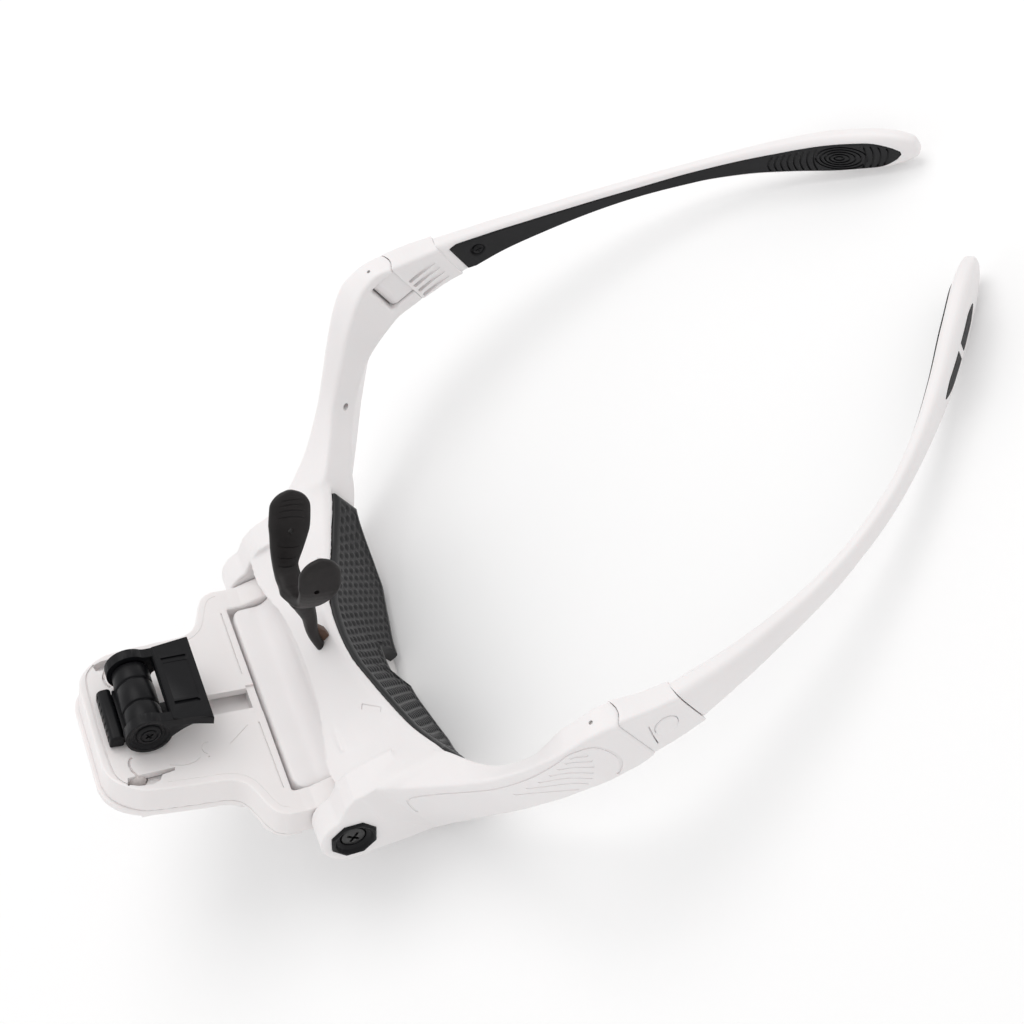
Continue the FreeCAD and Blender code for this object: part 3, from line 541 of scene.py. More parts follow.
# snap window outline and parting line on the brow's top face
def on_brow(x, y):
    yc, zc, yl, zl = brow_at(x)[:4]
    w = min(1, max(0, (y - yc) / (yl - yc)))
    return (x, y, zc + (zl - zc) * w + 0.2)


for s in (1, -1):
    for a, b in (((20.9, -52.2), (24.2, -48.6)), ((20.9, -52.2), (21.9, -52.9)), ((24.2, -48.6), (25.1, -49.3))):
        q = [on_brow(s * (a[0] + (b[0] - a[0]) * k / 6), a[1] + (b[1] - a[1]) * k / 6) for k in range(7)]
        body = cut(body, ribbon(q, 0.32, (0, 0, 1), 1.0, 0.35))
frame_o = finish(body, "frame_shell", "frame", WHITE, replaces=("front_frame",), angle=40)

# ------------------------------------------------------------------ pad and its carrier
def strip(name, y0, y1, top, bot, xs, bump=0.0):
    rings = []
    for x in xs:
        yc, zc, yl, zl, zb, yf, zf = brow_at(x)
        rings.append([(x, yl + y0, zl + top), (x, yl + y1, zl + top), (x, yl + y1, zb + bot), (x, yl + y0, zb + bot)])
    return loft(name, rings)


car = strip("carrier", -WALL_BACK + 0.05, -WALL_BACK + CARRIER_T - 0.02, -LIP_T - 0.15, -0.05, np.linspace(-42, 42, 61))
flap = []
for x, z in ((-24.0, -43.6), (-22.6, -44.4), (-21.0, -44.85), (-16.0, -45.0), (-8.0, -45.0), (-4.0, -45.0), (-2.8, -44.85), (-2.0, -44.45), (-1.5, -43.8)):
    yl, zl = brow_at(x)[2:4]
    flap.append([(x, yl - WALL_BACK + 0.05, zl - 8.0), (x, yl - WALL_BACK + CARRIER_T - 0.02, zl - 8.0),
                 (x, yl - WALL_BACK + CARRIER_T - 0.02, z), (x, yl - WALL_BACK + 0.05, z)])
car = add(car, loft("flap", flap))
car = bevel(car, 0.2, 2)
finish(car, "pad_backing", "frame", CARRIER, replaces=("pad_carrier",))


def pad_mesh():
    nx, nz = 420, 120
    verts, faces = [], []
    y_back = -WALL_BACK + CARRIER_T + 0.06
    xs = np.linspace(-41.9, 41.9, nx)
    for side in (0, 1):
        for i, x in enumerate(xs):
            yc, zc, yl, zl, zb, yf, zf = brow_at(x)
            top, bot = zl - LIP_T - 0.2, zb + 1.0
            n0 = 1 - min(1, max(0, abs(x - 0.2) - 3.9) / 1.5)      # notch near the middle
            bot = bot + (7.4 - 0.0) * (n0 ** 0.5 if n0 > 0 else 0)
            for k in range(nz):
                w = k / (nz - 1)
                z = top + (bot - top) * w
                if side == 0:
                    y = yl + y_back
                else:
                    hgt = top - bot
                    edge = min(w * hgt, (1 - w) * hgt, (41.9 - abs(x)) * 1.1)
                    e = min(1.0, edge / 1.6)
                    y = yl + y_back + (0.98 - y_back) * (0.55 + 0.45 * math.sqrt(max(0, 1 - (1 - e) ** 2)))
                    # rows of round bumps inside a plain rim
                    m = min(w * hgt, (1 - w) * hgt) - 1.9
                    if m > 0 and abs(x) < 40.2:
                        row = math.floor((top - z) / 2.15)
                        cx = (x + (row % 2) * 1.25) / 2.5
                        dx = (cx - round(cx)) * 2.5
                        dz = ((top - z) / 2.15 - row - 0.5) * 2.15
                        r = math.hypot(dx, dz)
                        if r < 0.8:
                            y += 0.5 * math.sqrt(1 - (r / 0.8) ** 2) * min(1, m / 0.5)
                        y -= 0.3
                verts.append((x, y, z))
    M = nx * nz
    for i in range(nx - 1):
        for k in range(nz - 1):
            a = i * nz + k
            faces.append((a, a + 1, a + nz + 1, a + nz))
            b = M + a
            faces.append((b, b + nz, b + nz + 1, b + 1))
    for i in range(nx - 1):
        for k in (0, nz - 1):
            a = i * nz + k
            faces.append((a, a + nz, M + a + nz, M + a))
    for k in range(nz - 1):
        for i in (0, nx - 1):
            a = i * nz + k
            faces.append((a, a + 1, M + a + 1, M + a))
    return new("pad", verts, faces)


pad = pad_mesh()
pad = finish(pad, "brow_pad", "frame", FOAM, replaces=("forehead_pad",), angle=60)

# ------------------------------------------------------------------ nose pad
def tube(path, w, t, name="t", n=20, power=2.6):
    """bar with a rounded section along a path, w across and t deep"""
    P = [Vector(p) for p in path]
    rings = []
    for i, p in enumerate(P):
        d = (P[min(i + 1, len(P) - 1)] - P[max(i - 1, 0)]).normalized()
        side = Vector((1, 0, 0)) if abs(d.x) < 0.6 else Vector((0, 0, 1))
        up = d.cross(side).normalized()
        side = up.cross(d).normalized()
        ww = w[i] if isinstance(w, (list, tuple)) else w
        tt = t[i] if isinstance(t, (list, tuple)) else t
        ring = []
        for k in range(n):
            a = 2 * math.pi * k / n
            ca, sa = math.cos(a), math.sin(a)
            ring.append(p + side * (ww / 2 * math.copysign(abs(ca) ** (2 / power), ca)) + up * (tt / 2 * math.copysign(abs(sa) ** (2 / power), sa)))
        rings.append(ring)
    return loft(name, rings)


def band_point(t, s):
    """middle line of one half of the band, t runs from 0 at the bridge to 1 at the pad's end"""
    return Vector([f(t) for f in NB[s]])


NT = (0.0, 0.22, 0.36, 0.58, 0.80, 1.0)
NB = {-1: [pchip(NT, v) for v in ((0.0, 3.2, 6.0, 9.5, 12.0, 13.4), (-47.7, -47.7, -46.8, -40.3, -36.3, -34.0), (4.1, 4.7, 6.0, 11.2, 14.7, 16.9))],
      1: [pchip(NT, v) for v in ((0.0, 3.0, 6.1, 9.8, 9.6, 9.3), (-47.7, -47.0, -45.2, -39.1, -36.2, -33.7), (4.1, 4.2, 5.1, 10.4, 13.9, 16.9))]}
NW = pchip((0.0, 0.2, 0.36, 0.5, 0.62, 0.78, 0.9, 0.965, 1.0), (7.2, 6.2, 6.0, 8.4, 9.9, 9.7, 7.4, 4.6, 1.2))
NN = pchip((0.0, 0.36, 0.6, 0.9, 1.0), (3.6, 3.0, 2.7, 2.3, 1.4))


def band_frame(t, s):
    p = band_point(t, s)
    d = (band_point(min(1.0, t + 0.02), s) - band_point(max(0.0, t - 0.02), s)).normalized()
    if t < 0.02:
        d = Vector((1, 0, 0))
    wid = Vector((0, -0.70, 0.714))
    wid = (wid - d * wid.dot(d)).normalized()
    nrm = wid.cross(d).normalized()
    m = Vector((s, 1, 1))
    return Vector((p.x * s, p.y, p.z)), Vector((d.x * s, d.y, d.z)), Vector((wid.x * s, wid.y, wid.z)), Vector((nrm.x * s, nrm.y, nrm.z))


def band_ring(t, s):
    p, d, wid, nrm = band_frame(t, s)
    out = []
    for k in range(28):
        a = 2 * math.pi * k / 28
        ca, sa = math.cos(a), math.sin(a)
        out.append(p + wid * (NW(t) / 2 * math.copysign(abs(ca) ** 0.75, ca)) + nrm * (NN(t) / 2 * math.copysign(abs(sa) ** 0.6, sa)))
    return out


ts_n = list(np.linspace(0.0, 0.9, 26)) + [0.93, 0.95, 0.965, 0.98, 0.99, 1.0]
nose_o = loft("band", [band_ring(t, -1) for t in reversed(ts_n[1:])] + [band_ring(t, 1) for t in ts_n])
sp = [(0, -55.7, -15.9), (0, -54.0, -10.5), (0, -51.1, -5.5), (0, -49.2, -1.0), (0, -48.2, 2.6)]
stem_path = catmull(sp, 6)
kk = [i / (len(stem_path) - 1) * 4 for i in range(len(stem_path))]
sw_, st_ = pchip(range(5), (4.4, 4.7, 5.2, 6.4, 7.6)), pchip(range(5), (2.4, 2.8, 3.6, 4.9, 5.4))
nose_o = merge(nose_o, tube(stem_path, [sw_(k) for k in kk], [st_(k) for k in kk]))
nose_o = soft(nose_o, 0.22, 5)
for s in (1, -1):
    p, d, wid, nrm = band_frame(0.58, s)
    p = p + (Vector((-0.83, -0.58, 0.88)) if s > 0 else Vector((0, 0, 0)))
    nose_o = cut(nose_o, cyl(p - nrm * 3, nrm, 0.62, 6, 24))
    for side, ts0 in ((1, (0.68, 0.74, 0.80, 0.86)), (-1, (0.5, 0.44, 0.38))) if s < 0 else ():
        for t in ts0:
            for up_ in (1, -1):
                p, d, wid, nrm = band_frame(t, s)
                q = [p + nrm * (up_ * (NN(t) / 2 - 0.02)) + wid * (v * NW(t) * 0.36) + d * (side * 0.5 * (1 - v * v)) for v in np.linspace(-1, 1, 7)]
                nose_o = cut(nose_o, ribbon(q, 0.3, nrm * up_, 0.8, 0.14))
nose_o = cut(nose_o, prism_x([(-64, -16.75), (-48, -13.95), (-48, -30), (-64, -30)], -9, 9))
rib = bevel(prism_x([(-52.2, -8.2), (-51.7, -12.6), (-52.2, -14.75), (-54.4, -15.1), (-53.6, -9.5)], -0.9, 0.9), 0.25, 2)
nose_o = finish(nose_o, "nose_saddle", "frame", RUBBER, replaces=("nose_pad",), angle=40)
finish(rib, "nose_rib", "frame", AMBER)

# ------------------------------------------------------------------ pivot knobs, screws
for s, n in ((1, "right"), (-1, "left")):
    r8 = lambda x, r: [(x, PY + r * math.cos(rad(22.5 + 45 * i - 36)), PZ + r * math.sin(rad(22.5 + 45 * i - 36))) for i in range(8)]
    k = loft("k", [r8(41.84, 5.66), r8(44.15, 5.66), r8(44.45, 5.35)])
    k = cut(k, lathe("t", (44.9, PY, PZ), (-1, 0, 0), [(5.0, 0), (4.6, 0.45), (4.15, 1.3), (3.3, 1.6), (3.1, 1.75), (3.1, 2.5)], 64),
            cyl((41, PY, PZ), (1, 0, 0), 1.58, 5))
    k = bevel(k, 0.18, 2, 30)
    if s < 0:
        move(k, MIRROR)
    finish(k, "tilt_knob_" + n, "frame", BLACK, replaces=("pivot_knob_" + n,))


def cross_head(p, d, r, h, dome=0.25, slot_l=0.62, slot_w=0.24, turn=20.0):
    """pan head, d points outwards"""
    o = lathe("h", p, d, [(r * 0.97, 0), (r, 0.12), (r, h * 0.45), (r * 0.93, h * 0.75), (r * 0.7, h * 0.93), (r * 0.35, h), (0.01, h + 0.02)], 48)
    dd, u, w = basis(d)
    for a in (turn, turn + 90):
        x = u * math.cos(rad(a)) + w * math.sin(rad(a))
        y = dd.cross(x)
        q0 = Vector(p) + dd * (h * 0.45)
        ring = lambda c, k: [c + x * (r * slot_l * k) + y * (r * slot_w / 2 * k), c - x * (r * slot_l * k) + y * (r * slot_w / 2 * k),
                             c - x * (r * slot_l * k) - y * (r * slot_w / 2 * k), c + x * (r * slot_l * k) - y * (r * slot_w / 2 * k)]
        o = cut(o, loft("t", [ring(q0, 0.75), ring(q0 + dd * (h * 0.8), 1.1)]))
    return o


scr = []
for s in (1, -1):
    h = cross_head((s * 42.52, PY, PZ), (s, 0, 0), 2.95, 0.95)
    sh = cyl((s * 30.0, PY, PZ), (s, 0, 0), 1.5, 12.6, 40)
    scr += [h, sh]
m0 = merge(scr[0], *scr[1:])
finish(m0, "tilt_screws", "lamp", DARKSTEEL, replaces=("pivot_screws",))

# ------------------------------------------------------------------ lamp housing
HALF = [(35.4, -6.4), (35.4, -12.9), (34.3, -15.2), (31.8, -16.9), (28.5, -18.2), (25.5, -19.5), (23.5, -21.4), (22.6, -24.5),
        (22.2, -31.0), (21.3, -41.0), (20.1, -44.4), (18.0, -47.4), (15.2, -49.6), (12.0, -50.5)]
curve = [tuple(p) for p in catmull(HALF[1:], 5)]
TOP, SPLIT, BOT = 2.6, -4.9, -7.5
EI, EO = 28.9, 35.4


def sym(pts):
    return pts + [(-u, v) for u, v in reversed(pts)]


def offset(pts, d):
    """moves each point of an open half outline inwards"""
    out = []
    n = len(pts)
    for i, p in enumerate(pts):
        a, b = np.array(pts[max(i - 1, 0)]), np.array(pts[min(i + 1, n - 1)])
        t = b - a
        t = t / np.linalg.norm(t)
        nn = np.array((t[1], -t[0]))
        if nn[0] > 0 and p[0] > 5 and abs(nn[0]) > abs(nn[1]):
            nn = -nn
        out.append((p[0] + nn[0] * d, p[1] + nn[1] * d))
    return out


ring0 = [(EI, -10.5), (EI, -6.4), (EO, -6.4)] + curve
top = prism_z(sym(ring0), SPLIT, TOP)
inner = [(26.8, -12.1), (33.4, -12.4), (32.6, -14.4), (30.6, -15.7), (27.8, -16.8), (24.6, -18.2), (22.2, -20.4), (21.0, -24.2),
         (20.6, -31.0), (19.7, -40.7), (18.6, -43.6), (16.9, -46.2), (14.6, -48.1), (11.8, -48.9)]
top = cut(top, prism_z(sym(inner), SPLIT - 1, TOP - 1.7))
top = add(top, box(-6.2, 6.2, -48.4, -11.4, -2.3, TOP - 0.5))
for s in (1, -1):
    x0, x1 = (EI, EO) if s > 0 else (-EO, -EI)
    w = prism_x([(-9.4, TOP - 0.02), (-6.6, 2.9), (-4.2, 3.9), (-2.3, 4.7), (0.0, 5.0), (0.0, -5.0), (-9.0, -3.8)], x0, x1)
    top = add(top, w)
    top = add(top, cyl((x0, 0, 0), (1, 0, 0), 5.2, x1 - x0, 72))
    top = add(top, cyl((s * 29.6, -14.2, SPLIT + 0.01), (0, 0, 1), 2.6, TOP - 1.0 - SPLIT, 32))
    sh = prism_z([(s * a, b) for a, b in ((11.0, -49.2), (14.9, -48.6), (17.6, -46.6), (19.6, -43.6), (20.4, -36.0), (20.0, -33.6), (11.0, -33.6))], -0.55, 0.2)
    top = add(top, cut(sh, cyl((s * 15.3, -43.4, -1), (0, 0, 1), 2.6, 3, 48)))
top = soft(top, 0.27, 4)
fine = [box(-3.1, 3.1, -46.9, -12.4, 0.7, 5), box(-4.7, 4.7, -46.9, -12.4, -1.4, 0.8),
        box(-4.0, 4.6, -12.6, -9.0, 1.95, 5)]
for s in (1, -1):
    win = [(18.3, -46.0), (16.5, -45.6), (16.2, -41.3), (15.95, -34.5), (16.9, -34.8), (17.4, -37.8), (18.9, -38.6), (19.6, -40.6), (19.3, -43.6)]
    fine.append(prism_z([(s * a, b) for a, b in win], TOP - 2.35, TOP + 1))
    slit = catmull([(10.9, -43.2), (11.5, -44.0), (12.9, -44.4), (14.5, -44.2), (16.4, -43.4)], 6)
    fine.append(ribbon([(s * a, b, TOP) for a, b in slit], 0.6, (0, 0, 1), 1, 0.7))
    fine.append(cyl((EI - 1 if s > 0 else -EO - 1, 0, 0), (1, 0, 0), 1.53, 8.6, 32))
    fine.append(cyl((s * 29.6, -14.2, SPLIT - 1), (0, 0, 1), 1.1, 6.2, 24))
    # parting line of the cover, inside the outline
    q = [p for p in offset(curve, 1.9) if p[1] > -38.5]
    fine.append(ribbon([(s * a, b, TOP) for a, b in q], 0.4, (0, 0, 1), 1, 0.1))
    # rim along the rear edge
    fine.append(ribbon([(s * 7.6, -12.4, TOP), (s * 27.8, -12.2, TOP)], 0.34, (0, 0, 1), 1, 0.35))
    # front rim line
front = catmull([(-18.6, -45.6), (-16.6, -47.4), (-13.8, -48.4), (-8, -48.7), (0, -48.8), (8, -48.7), (13.8, -48.4), (16.6, -47.4), (18.6, -45.6)], 5)
fine.append(ribbon([(a, b, TOP) for a, b in front], 0.45, (0, 0, 1), 1, 0.4))
# small moulded marks: an arc, a dot and an arrow for the slide direction
for pts, w in (([(10.6, -25.4), (11.0, -26.6), (12.0, -27.3), (13.3, -27.1), (14.0, -26.4)], 0.22),
               ([(12.4, -20.6), (10.2, -17.9), (7.9, -15.2)], 0.16), ([(15.1, -35.5), (15.9, -32.6), (15.7, -30.0), (14.7, -28.3)], 0.16)):
    fine.append(ribbon([(a, b, TOP) for a, b in catmull(pts, 5)], w, (0, 0, 1), 1, 0.16))
fine.append(cyl((14.9, -26.3, TOP - 0.25), (0, 0, 1), 0.28, 1, 16))
fine.append(box(-24, -19, -38.0, -29.0, -2.75, -0.55))
for t in fine:
    top = cut(top, t)
finish(top, "lamp_cover", "lamp", WHITE2, to=LAMP, replaces=("lamp_top_shell",), angle=38)

BULGE = {-44.4: (20.3, -44.8), -47.4: (18.3, -48.1), -49.6: (15.4, -50.5), -50.5: (12.0, -51.5)}
low = [tuple(p) for p in catmull([BULGE.get(v, (u, v)) for u, v in HALF[1:]], 5) if p[1] < -9.2]
ring_b = sym([(EI, -10.5), (EI, -9.25), (EO, -9.25)] + low)
shrunk = lambda k, h: [(u * k, -31.0 + (v + 31.0) * k, h) for u, v in ring_b]
bot = loft("bot", [shrunk(1.0, SPLIT - 0.05), shrunk(1.0, BOT + 2.0), shrunk(0.994, BOT + 1.0), shrunk(0.982, BOT + 0.35), shrunk(0.962, BOT)])
bot = cut(bot, prism_z(sym(inner), BOT + 1.5, SPLIT + 1))
bot = keep(bot, box(-23.5, 23.5, -60, 0, -10, 0))
for s in (1, -1):
    wing = keep(loft("w", [shrunk(1.0, SPLIT - 0.05), shrunk(0.998, -5.7), shrunk(0.99, -6.0)]), box(min(s * 22.5, s * 40), max(s * 22.5, s * 40), -30, 0, -10, 0))
    bot = add(bot, wing)
bot = cut(bot, box(-15.9, 15.9, -40.3, -19.7, BOT - 1, BOT + 3))
for s in (1, -1):
    x0, x1 = (17.45, 19.6) if s > 0 else (-19.6, -17.45)
    bot = add(bot, box(x0, x1, -42.9, -16.0, BOT - 1.6, BOT + 0.5), cyl((s * 29.6, -14.2, -6.9), (0, 0, 1), 3.3, 6.9 + SPLIT - 0.06, 40))
bot = add(bot, box(-19.6, 19.6, -18.1, -16.0, BOT - 1.6, BOT + 0.5), box(-20.2, 20.2, -19.6, -18.4, BOT + 1.0, -5.0))
bot = soft(bot, 0.25, 3)
for s in (1, -1):
    bot = cut(bot, cyl((s * 29.6, -14.2, -8.0), (0, 0, 1), 1.15, 6, 32), cyl((s * 29.6, -14.2, -8.0), (0, 0, 1), 2.35, 2.4, 40))
finish(bot, "lamp_base", "lamp", WHITE2, to=LAMP, replaces=("lamp_bottom_shell",), angle=38)

door = prism_z(round_poly([(-17.2, -42.2), (17.2, -42.2), (17.2, -18.4), (-17.2, -18.4)], 1.2), BOT - 1.5, BOT - 0.08)
door = bevel(door, 0.35, 3)
for k in range(5):
    y = -40.4 + 1.3 * k
    door = cut(door, prism_z(round_poly([(-6.5 + k * 0.9, y - 0.3), (6.5 - k * 0.9, y - 0.3), (6.5 - k * 0.9, y + 0.3), (-6.5 + k * 0.9, y + 0.3)], 0.28), BOT - 2.2, BOT - 1.1))
finish(door, "battery_cover", "battery_cover", WHITE2, to=LAMP, replaces=("battery_door",))

heads = []
for s in (1, -1):
    heads.append(cross_head((s * 29.6, -14.2, -5.65), (0, 0, -1), 2.15, 1.1))
    heads.append(cyl((s * 29.6, -14.2, -5.7), (0, 0, 1), 1.03, 5.8, 24))
finish(merge(heads[0], *heads[1:]), "housing_screws", "lamp", STEEL, to=LAMP, replaces=("shell_screws",))
for s, n in ((1, "right"), (-1, "left")):
    prof = [(2.85, 0), (2.9, 0.15), (2.9, 0.9), (2.75, 1.0), (2.5, 1.02), (2.5, 3.4)] + \
        [(2.5 * math.cos(rad(a)), 3.4 + 2.5 * math.sin(rad(a))) for a in range(8, 90, 8)] + [(0.02, 5.9)]
    led = lathe("l", (s * 15.3, -43.4, -3.5), (0, 0, 1), prof, 48)
    finish(led, "led_lens_" + n, "lamp", CLEAR, to=LAMP, replaces=("led_" + n,))
    post = merge(box(s * 15.3 - 0.9, s * 15.3 - 0.2, -43.8, -43.0, -2.4, -0.4), lathe("c", (s * 15.3 + 0.35, -43.4, -2.4), (0, 0, 1), [(0.35, 0), (0.35, 1.3), (1.0, 2.4), (0.8, 2.4), (0.3, 1.9)], 20))
    finish(post, "led_die_" + n, "lamp", STEEL, to=LAMP)
sw = merge(prism_z(round_poly([(-23.4, -37.5), (-20.9, -37.5), (-20.9, -33.3), (-23.4, -33.3)], 0.5), -2.4, -0.9),
           box(-20.9, -19.2, -37.6, -32.7, -2.5, -0.8))
sw = bevel(sw, 0.2, 2)
for k in range(3):
    sw = cut(sw, box(-24, -23.1, -36.6 + 1.0 * k, -36.2 + 1.0 * k, -3, 0))
finish(sw, "slide_switch", "switch", BLACK, to=LAMP, replaces=("power_switch",))

# ------------------------------------------------------------------ lens carriage and bracket
BV, BH = -39.4, 9.2
car = box(-4.35, 4.35, -46.3, -30.7, -0.95, 0.35)
car = add(car, box(-2.85, 2.85, -44.3, -30.7, 0.2, 3.4), prism_z(round_poly([(-6.6, -44.2), (6.6, -44.2), (6.6, -34.6), (-6.6, -34.6)], 0.5), 3.1, 6.4))
car = add(car, prism_x([(-43.6, 5.8), (-35.4, 5.8), (-35.3, BH), (-43.7, BH)], -6.6, 6.6))
prof = [(4.0, 0.0), (4.3, 0.15), (4.4, 0.4), (4.4, 4.1), (4.3, 4.4), (3.9, 4.6), (3.9, 5.1), (4.3, 5.3), (4.45, 5.6), (4.45, 11.0), (4.3, 11.3), (3.9, 11.5),
        (3.9, 12.0), (4.3, 12.2), (4.4, 12.5), (4.4, 16.2), (4.3, 16.45), (4.0, 16.6)]
car = add(car, lathe("k", (-8.3, BV, BH), (1, 0, 0), prof, 64))
car = cut(car, cyl((-20, BV, BH), (1, 0, 0), 1.56, 40))
car = bevel(car, 0.14, 2, 40)
finish(car, "slide_knuckle", "carriage", BLACK2, to=LAMP, replaces=("lens_carriage",))
grip = prism_x(round_poly([(-47.6, 2.9), (-44.3, 2.9), (-44.3, 6.0), (-45.0, 6.5), (-46.9, 6.3), (-47.6, 5.4)], 0.5), -7.4, 7.4)
grip = bevel(grip, 0.3, 2, 40)
for k in range(7):
    y = -6.0 + 2.0 * k
    grip = cut(grip, box(y - 0.3, y + 0.3, -50, -47.35, 2, 7))
finish(grip, "slide_grip", "carriage", BLACK2, to=LAMP, replaces=("carriage_grip",))

PT = 14.1
br = None
for s in (1, -1):
    x0, x1 = (8.62, 11.15) if s > 0 else (-11.15, -8.62)
    cheek = cyl((x0, BV, BH), (1, 0, 0), 5.45, x1 - x0, 72)
    # cheek web with a concave underside
    top_l = catmull([(BV + 0.6, BH + 5.38), (-36.0, BH + 4.55), (-33.0, PT - 0.35), (-29.0, PT - 0.05), (-25.0, PT)], 5)
    bot_l = catmull([(-25.0, PT - 1.9), (-28.0, PT - 2.7), (-31.0, PT - 4.0), (-33.2, BH - 0.6), (BV + 4.9, BH - 1.6), (BV + 1.5, BH - 3.0)], 5)
    web = prism_x([tuple(p) for p in top_l] + [tuple(p) for p in bot_l], x0, x1)
    c = add(cheek, web)
    br = c if br is None else add(br, c)
outline = [(-8.7, -34.2), (8.7, -34.2), (8.7, -36.4), (11.15, -36.4), (11.3, -31.5), (11.9, -28.0), (12.7, -24.9), (-12.7, -24.9), (-11.9, -28.0),
           (-11.3, -31.5), (-11.15, -36.4), (-8.7, -36.4)]
br = add(br, prism_z(outline, PT - 2.6, PT - 0.45))
# raised frame round a sunk panel with two slots
rim = prism_z(round_poly([(-12.4, -25.0), (12.4, -25.0), (11.0, -34.0), (-11.0, -34.0)], 0.4), PT - 0.6, PT - 0.02)
rim = cut(rim, prism_z(round_poly([(-5.6, -26.6), (5.6, -26.6), (5.6, -32.6), (-5.6, -32.6)], 0.4), PT - 0.12, PT + 0.5))
br = add(br, rim)
br = cut(br, box(-7.5, 7.5, -32.5, -24.0, PT - 2.0, PT - 0.8), cyl((-20, BV, BH), (1, 0, 0), 1.52, 40))
for s in (1, -1):
    br = cut(br, prism_z([(s * 6.2, -32.6), (s * 7.2, -32.6), (s * 7.3, -26.8), (s * 6.9, -26.6), (s * 6.2, -27.2)], PT - 0.5, PT + 1))
    br = cut(br, lathe("d", (s * 11.4, BV, BH), (-s, 0, 0), [(4.7, 0), (4.6, 0.45), (3.9, 0.6), (3.7, 0.85), (3.1, 0.9), (3.1, 1.2)], 64))
br = bevel(br, 0.13, 2, 40)
finish(br, "lens_clip", "bracket", BLACK2, to=LAMP, replaces=("lens_bracket",))
caps = []
for s in (1, -1):
    cp = cross_head((s * 10.22, BV, BH), (s, 0, 0), 2.95, 0.85, turn=30, slot_l=0.34, slot_w=0.2)
    cp = cut(cp, cut(cyl((s * 10.8, BV, BH), (s, 0, 0), 2.1, 1.0), cyl((s * 10.7, BV, BH), (s, 0, 0), 1.75, 1.2)))
    caps.append(cp)
finish(merge(caps[0], caps[1]), "clip_caps", "bracket", BLACK, to=LAMP, replaces=("bracket_caps",))

# ------------------------------------------------------------------ connectors, buttons, temples
CON = [
    (0.4, 77.85, 71.0, -0.8, -0.75, -16.55, -18.85),
    (4.2, 77.95, 71.1, -1.95, -1.75, -16.85, -18.75),
    (8.0, 78.35, 71.8, -3.55, -3.95, -17.85, -19.35),
    (12.0, 78.6, 72.5, -5.65, -6.25, -18.95, -20.05),
    (16.2, 78.7, 72.9, -7.85, -8.25, -20.35, -20.75),
]
cf = [pchip([c[0] for c in CON], [c[k] for c in CON]) for k in range(1, 7)]


def quad_ring(q, c, n=3):
    out = []
    q = [np.array(p, float) for p in q]
    for i in range(4):
        a, b, d = q[i - 1], q[i], q[(i + 1) % 4]
        ea, ed = a - b, d - b
        p0, p1 = b + ea * min(c / np.linalg.norm(ea), 0.4), b + ed * min(c / np.linalg.norm(ed), 0.4)
        for j in range(n + 1):
            w = j / n
            out.append((1 - w) ** 2 * p0 + 2 * w * (1 - w) * b + w * w * p1)
    return out


rings = []
for y in np.linspace(0.4, 16.2, 17):
    xo, xi, zto, zti, zbi, zbo = [f(y) for f in cf]
    rings.append(quad_ring([(xo, y, zto), (xi, y, zti), (xi, y, zbi), (xo, y, zbo)], 1.1))
con = loft("con", rings)
con = cut(con, cyl((PIN_X, 0, -40), (0, 0, 1), 5.60, 60, 96))
con = add(con, cyl((PIN_X, 0, -12.6), (0, 0, 1), 2.3, 9.0, 64), box(PIN_X - 2.2, PIN_X + 1.8, 0, 6.2, -12.6, -3.6))
con = soft(con, 0.16, 2)
con = cut(con, cyl((PIN_X, 0, -40), (0, 0, 1), 1.06, 60, 32))


def tang(grow, back, fwd):
    o = box(-1.9 - grow, 0.0 + grow, -back, fwd, -3.0 - grow, 3.0 + grow)
    return move(o, Matrix.Translation((75.8, 16.4, -14.35)) @ Matrix.Rotation(rad(-16.8), 4, "X") @ Matrix.Translation((-0.45, 0, 0)))


con = cut(con, tang(0.15, 7.9, 3.0))
BY, BZ = 10.2, -12.45
con = cut(con, cyl((75.95, BY, BZ), (1, 0, 0), 2.72, 6, 48))
for k in range(4):
    con = cut(con, prism_x(round_poly([(5.6, -8.9 - 2.1 * k), (13.4, -10.1 - 2.1 * k), (13.4, -11.2 - 2.1 * k), (5.6, -10.0 - 2.1 * k)], 0.4), 69.0, 72.8))
con = cut(con, ribbon([(78.8, 7.6, -9.0), (78.6, 6.6, -12.6), (78.2, 5.9, -16.0)], 0.3, (1, 0, 0), 1, 0.9))
btn = lathe("b", (76.8, BY, BZ), (1, 0, 0), [(2.55, 0), (2.62, 0.1), (2.62, 1.75), (2.5, 1.95), (2.2, 2.06), (1.0, 2.1), (0.02, 2.1)], 56)


def tf(k):
    return pchip([t[0] for t in TEMPLE], [t[k] for t in TEMPLE])


TF = [tf(k) for k in range(1, 6)]


def t_frame(y):
    x, z, th, h, roll = [f(y) for f in TF]
    e = 0.4
    dx, dz = (TF[0](y + e) - TF[0](y - e)) / (2 * e), (TF[1](y + e) - TF[1](y - e)) / (2 * e)
    n = math.hypot(dx, 1)
    lat = Vector((1 / n, -dx / n, 0))
    r = rad(roll)
    w = Vector((0, 0, 1)) * math.cos(r) + lat * math.sin(r)
    la = lat * math.cos(r) - Vector((0, 0, 1)) * math.sin(r)
    return Vector((x, y, z)), la, w, th, h


def t_ring(y, n=36, k=1.0, p=3.2):
    c, la, w, th, h = t_frame(y)
    ring = []
    for j in range(n):
        a = 2 * math.pi * (j + 0.5) / n
        ca, sa = math.cos(a), math.sin(a)
        ring.append(c + la * (th / 2 * k * math.copysign(abs(ca) ** (2 / p), ca)) + w * (h / 2 * k * math.copysign(abs(sa) ** (2 / p), sa)))
    return ring


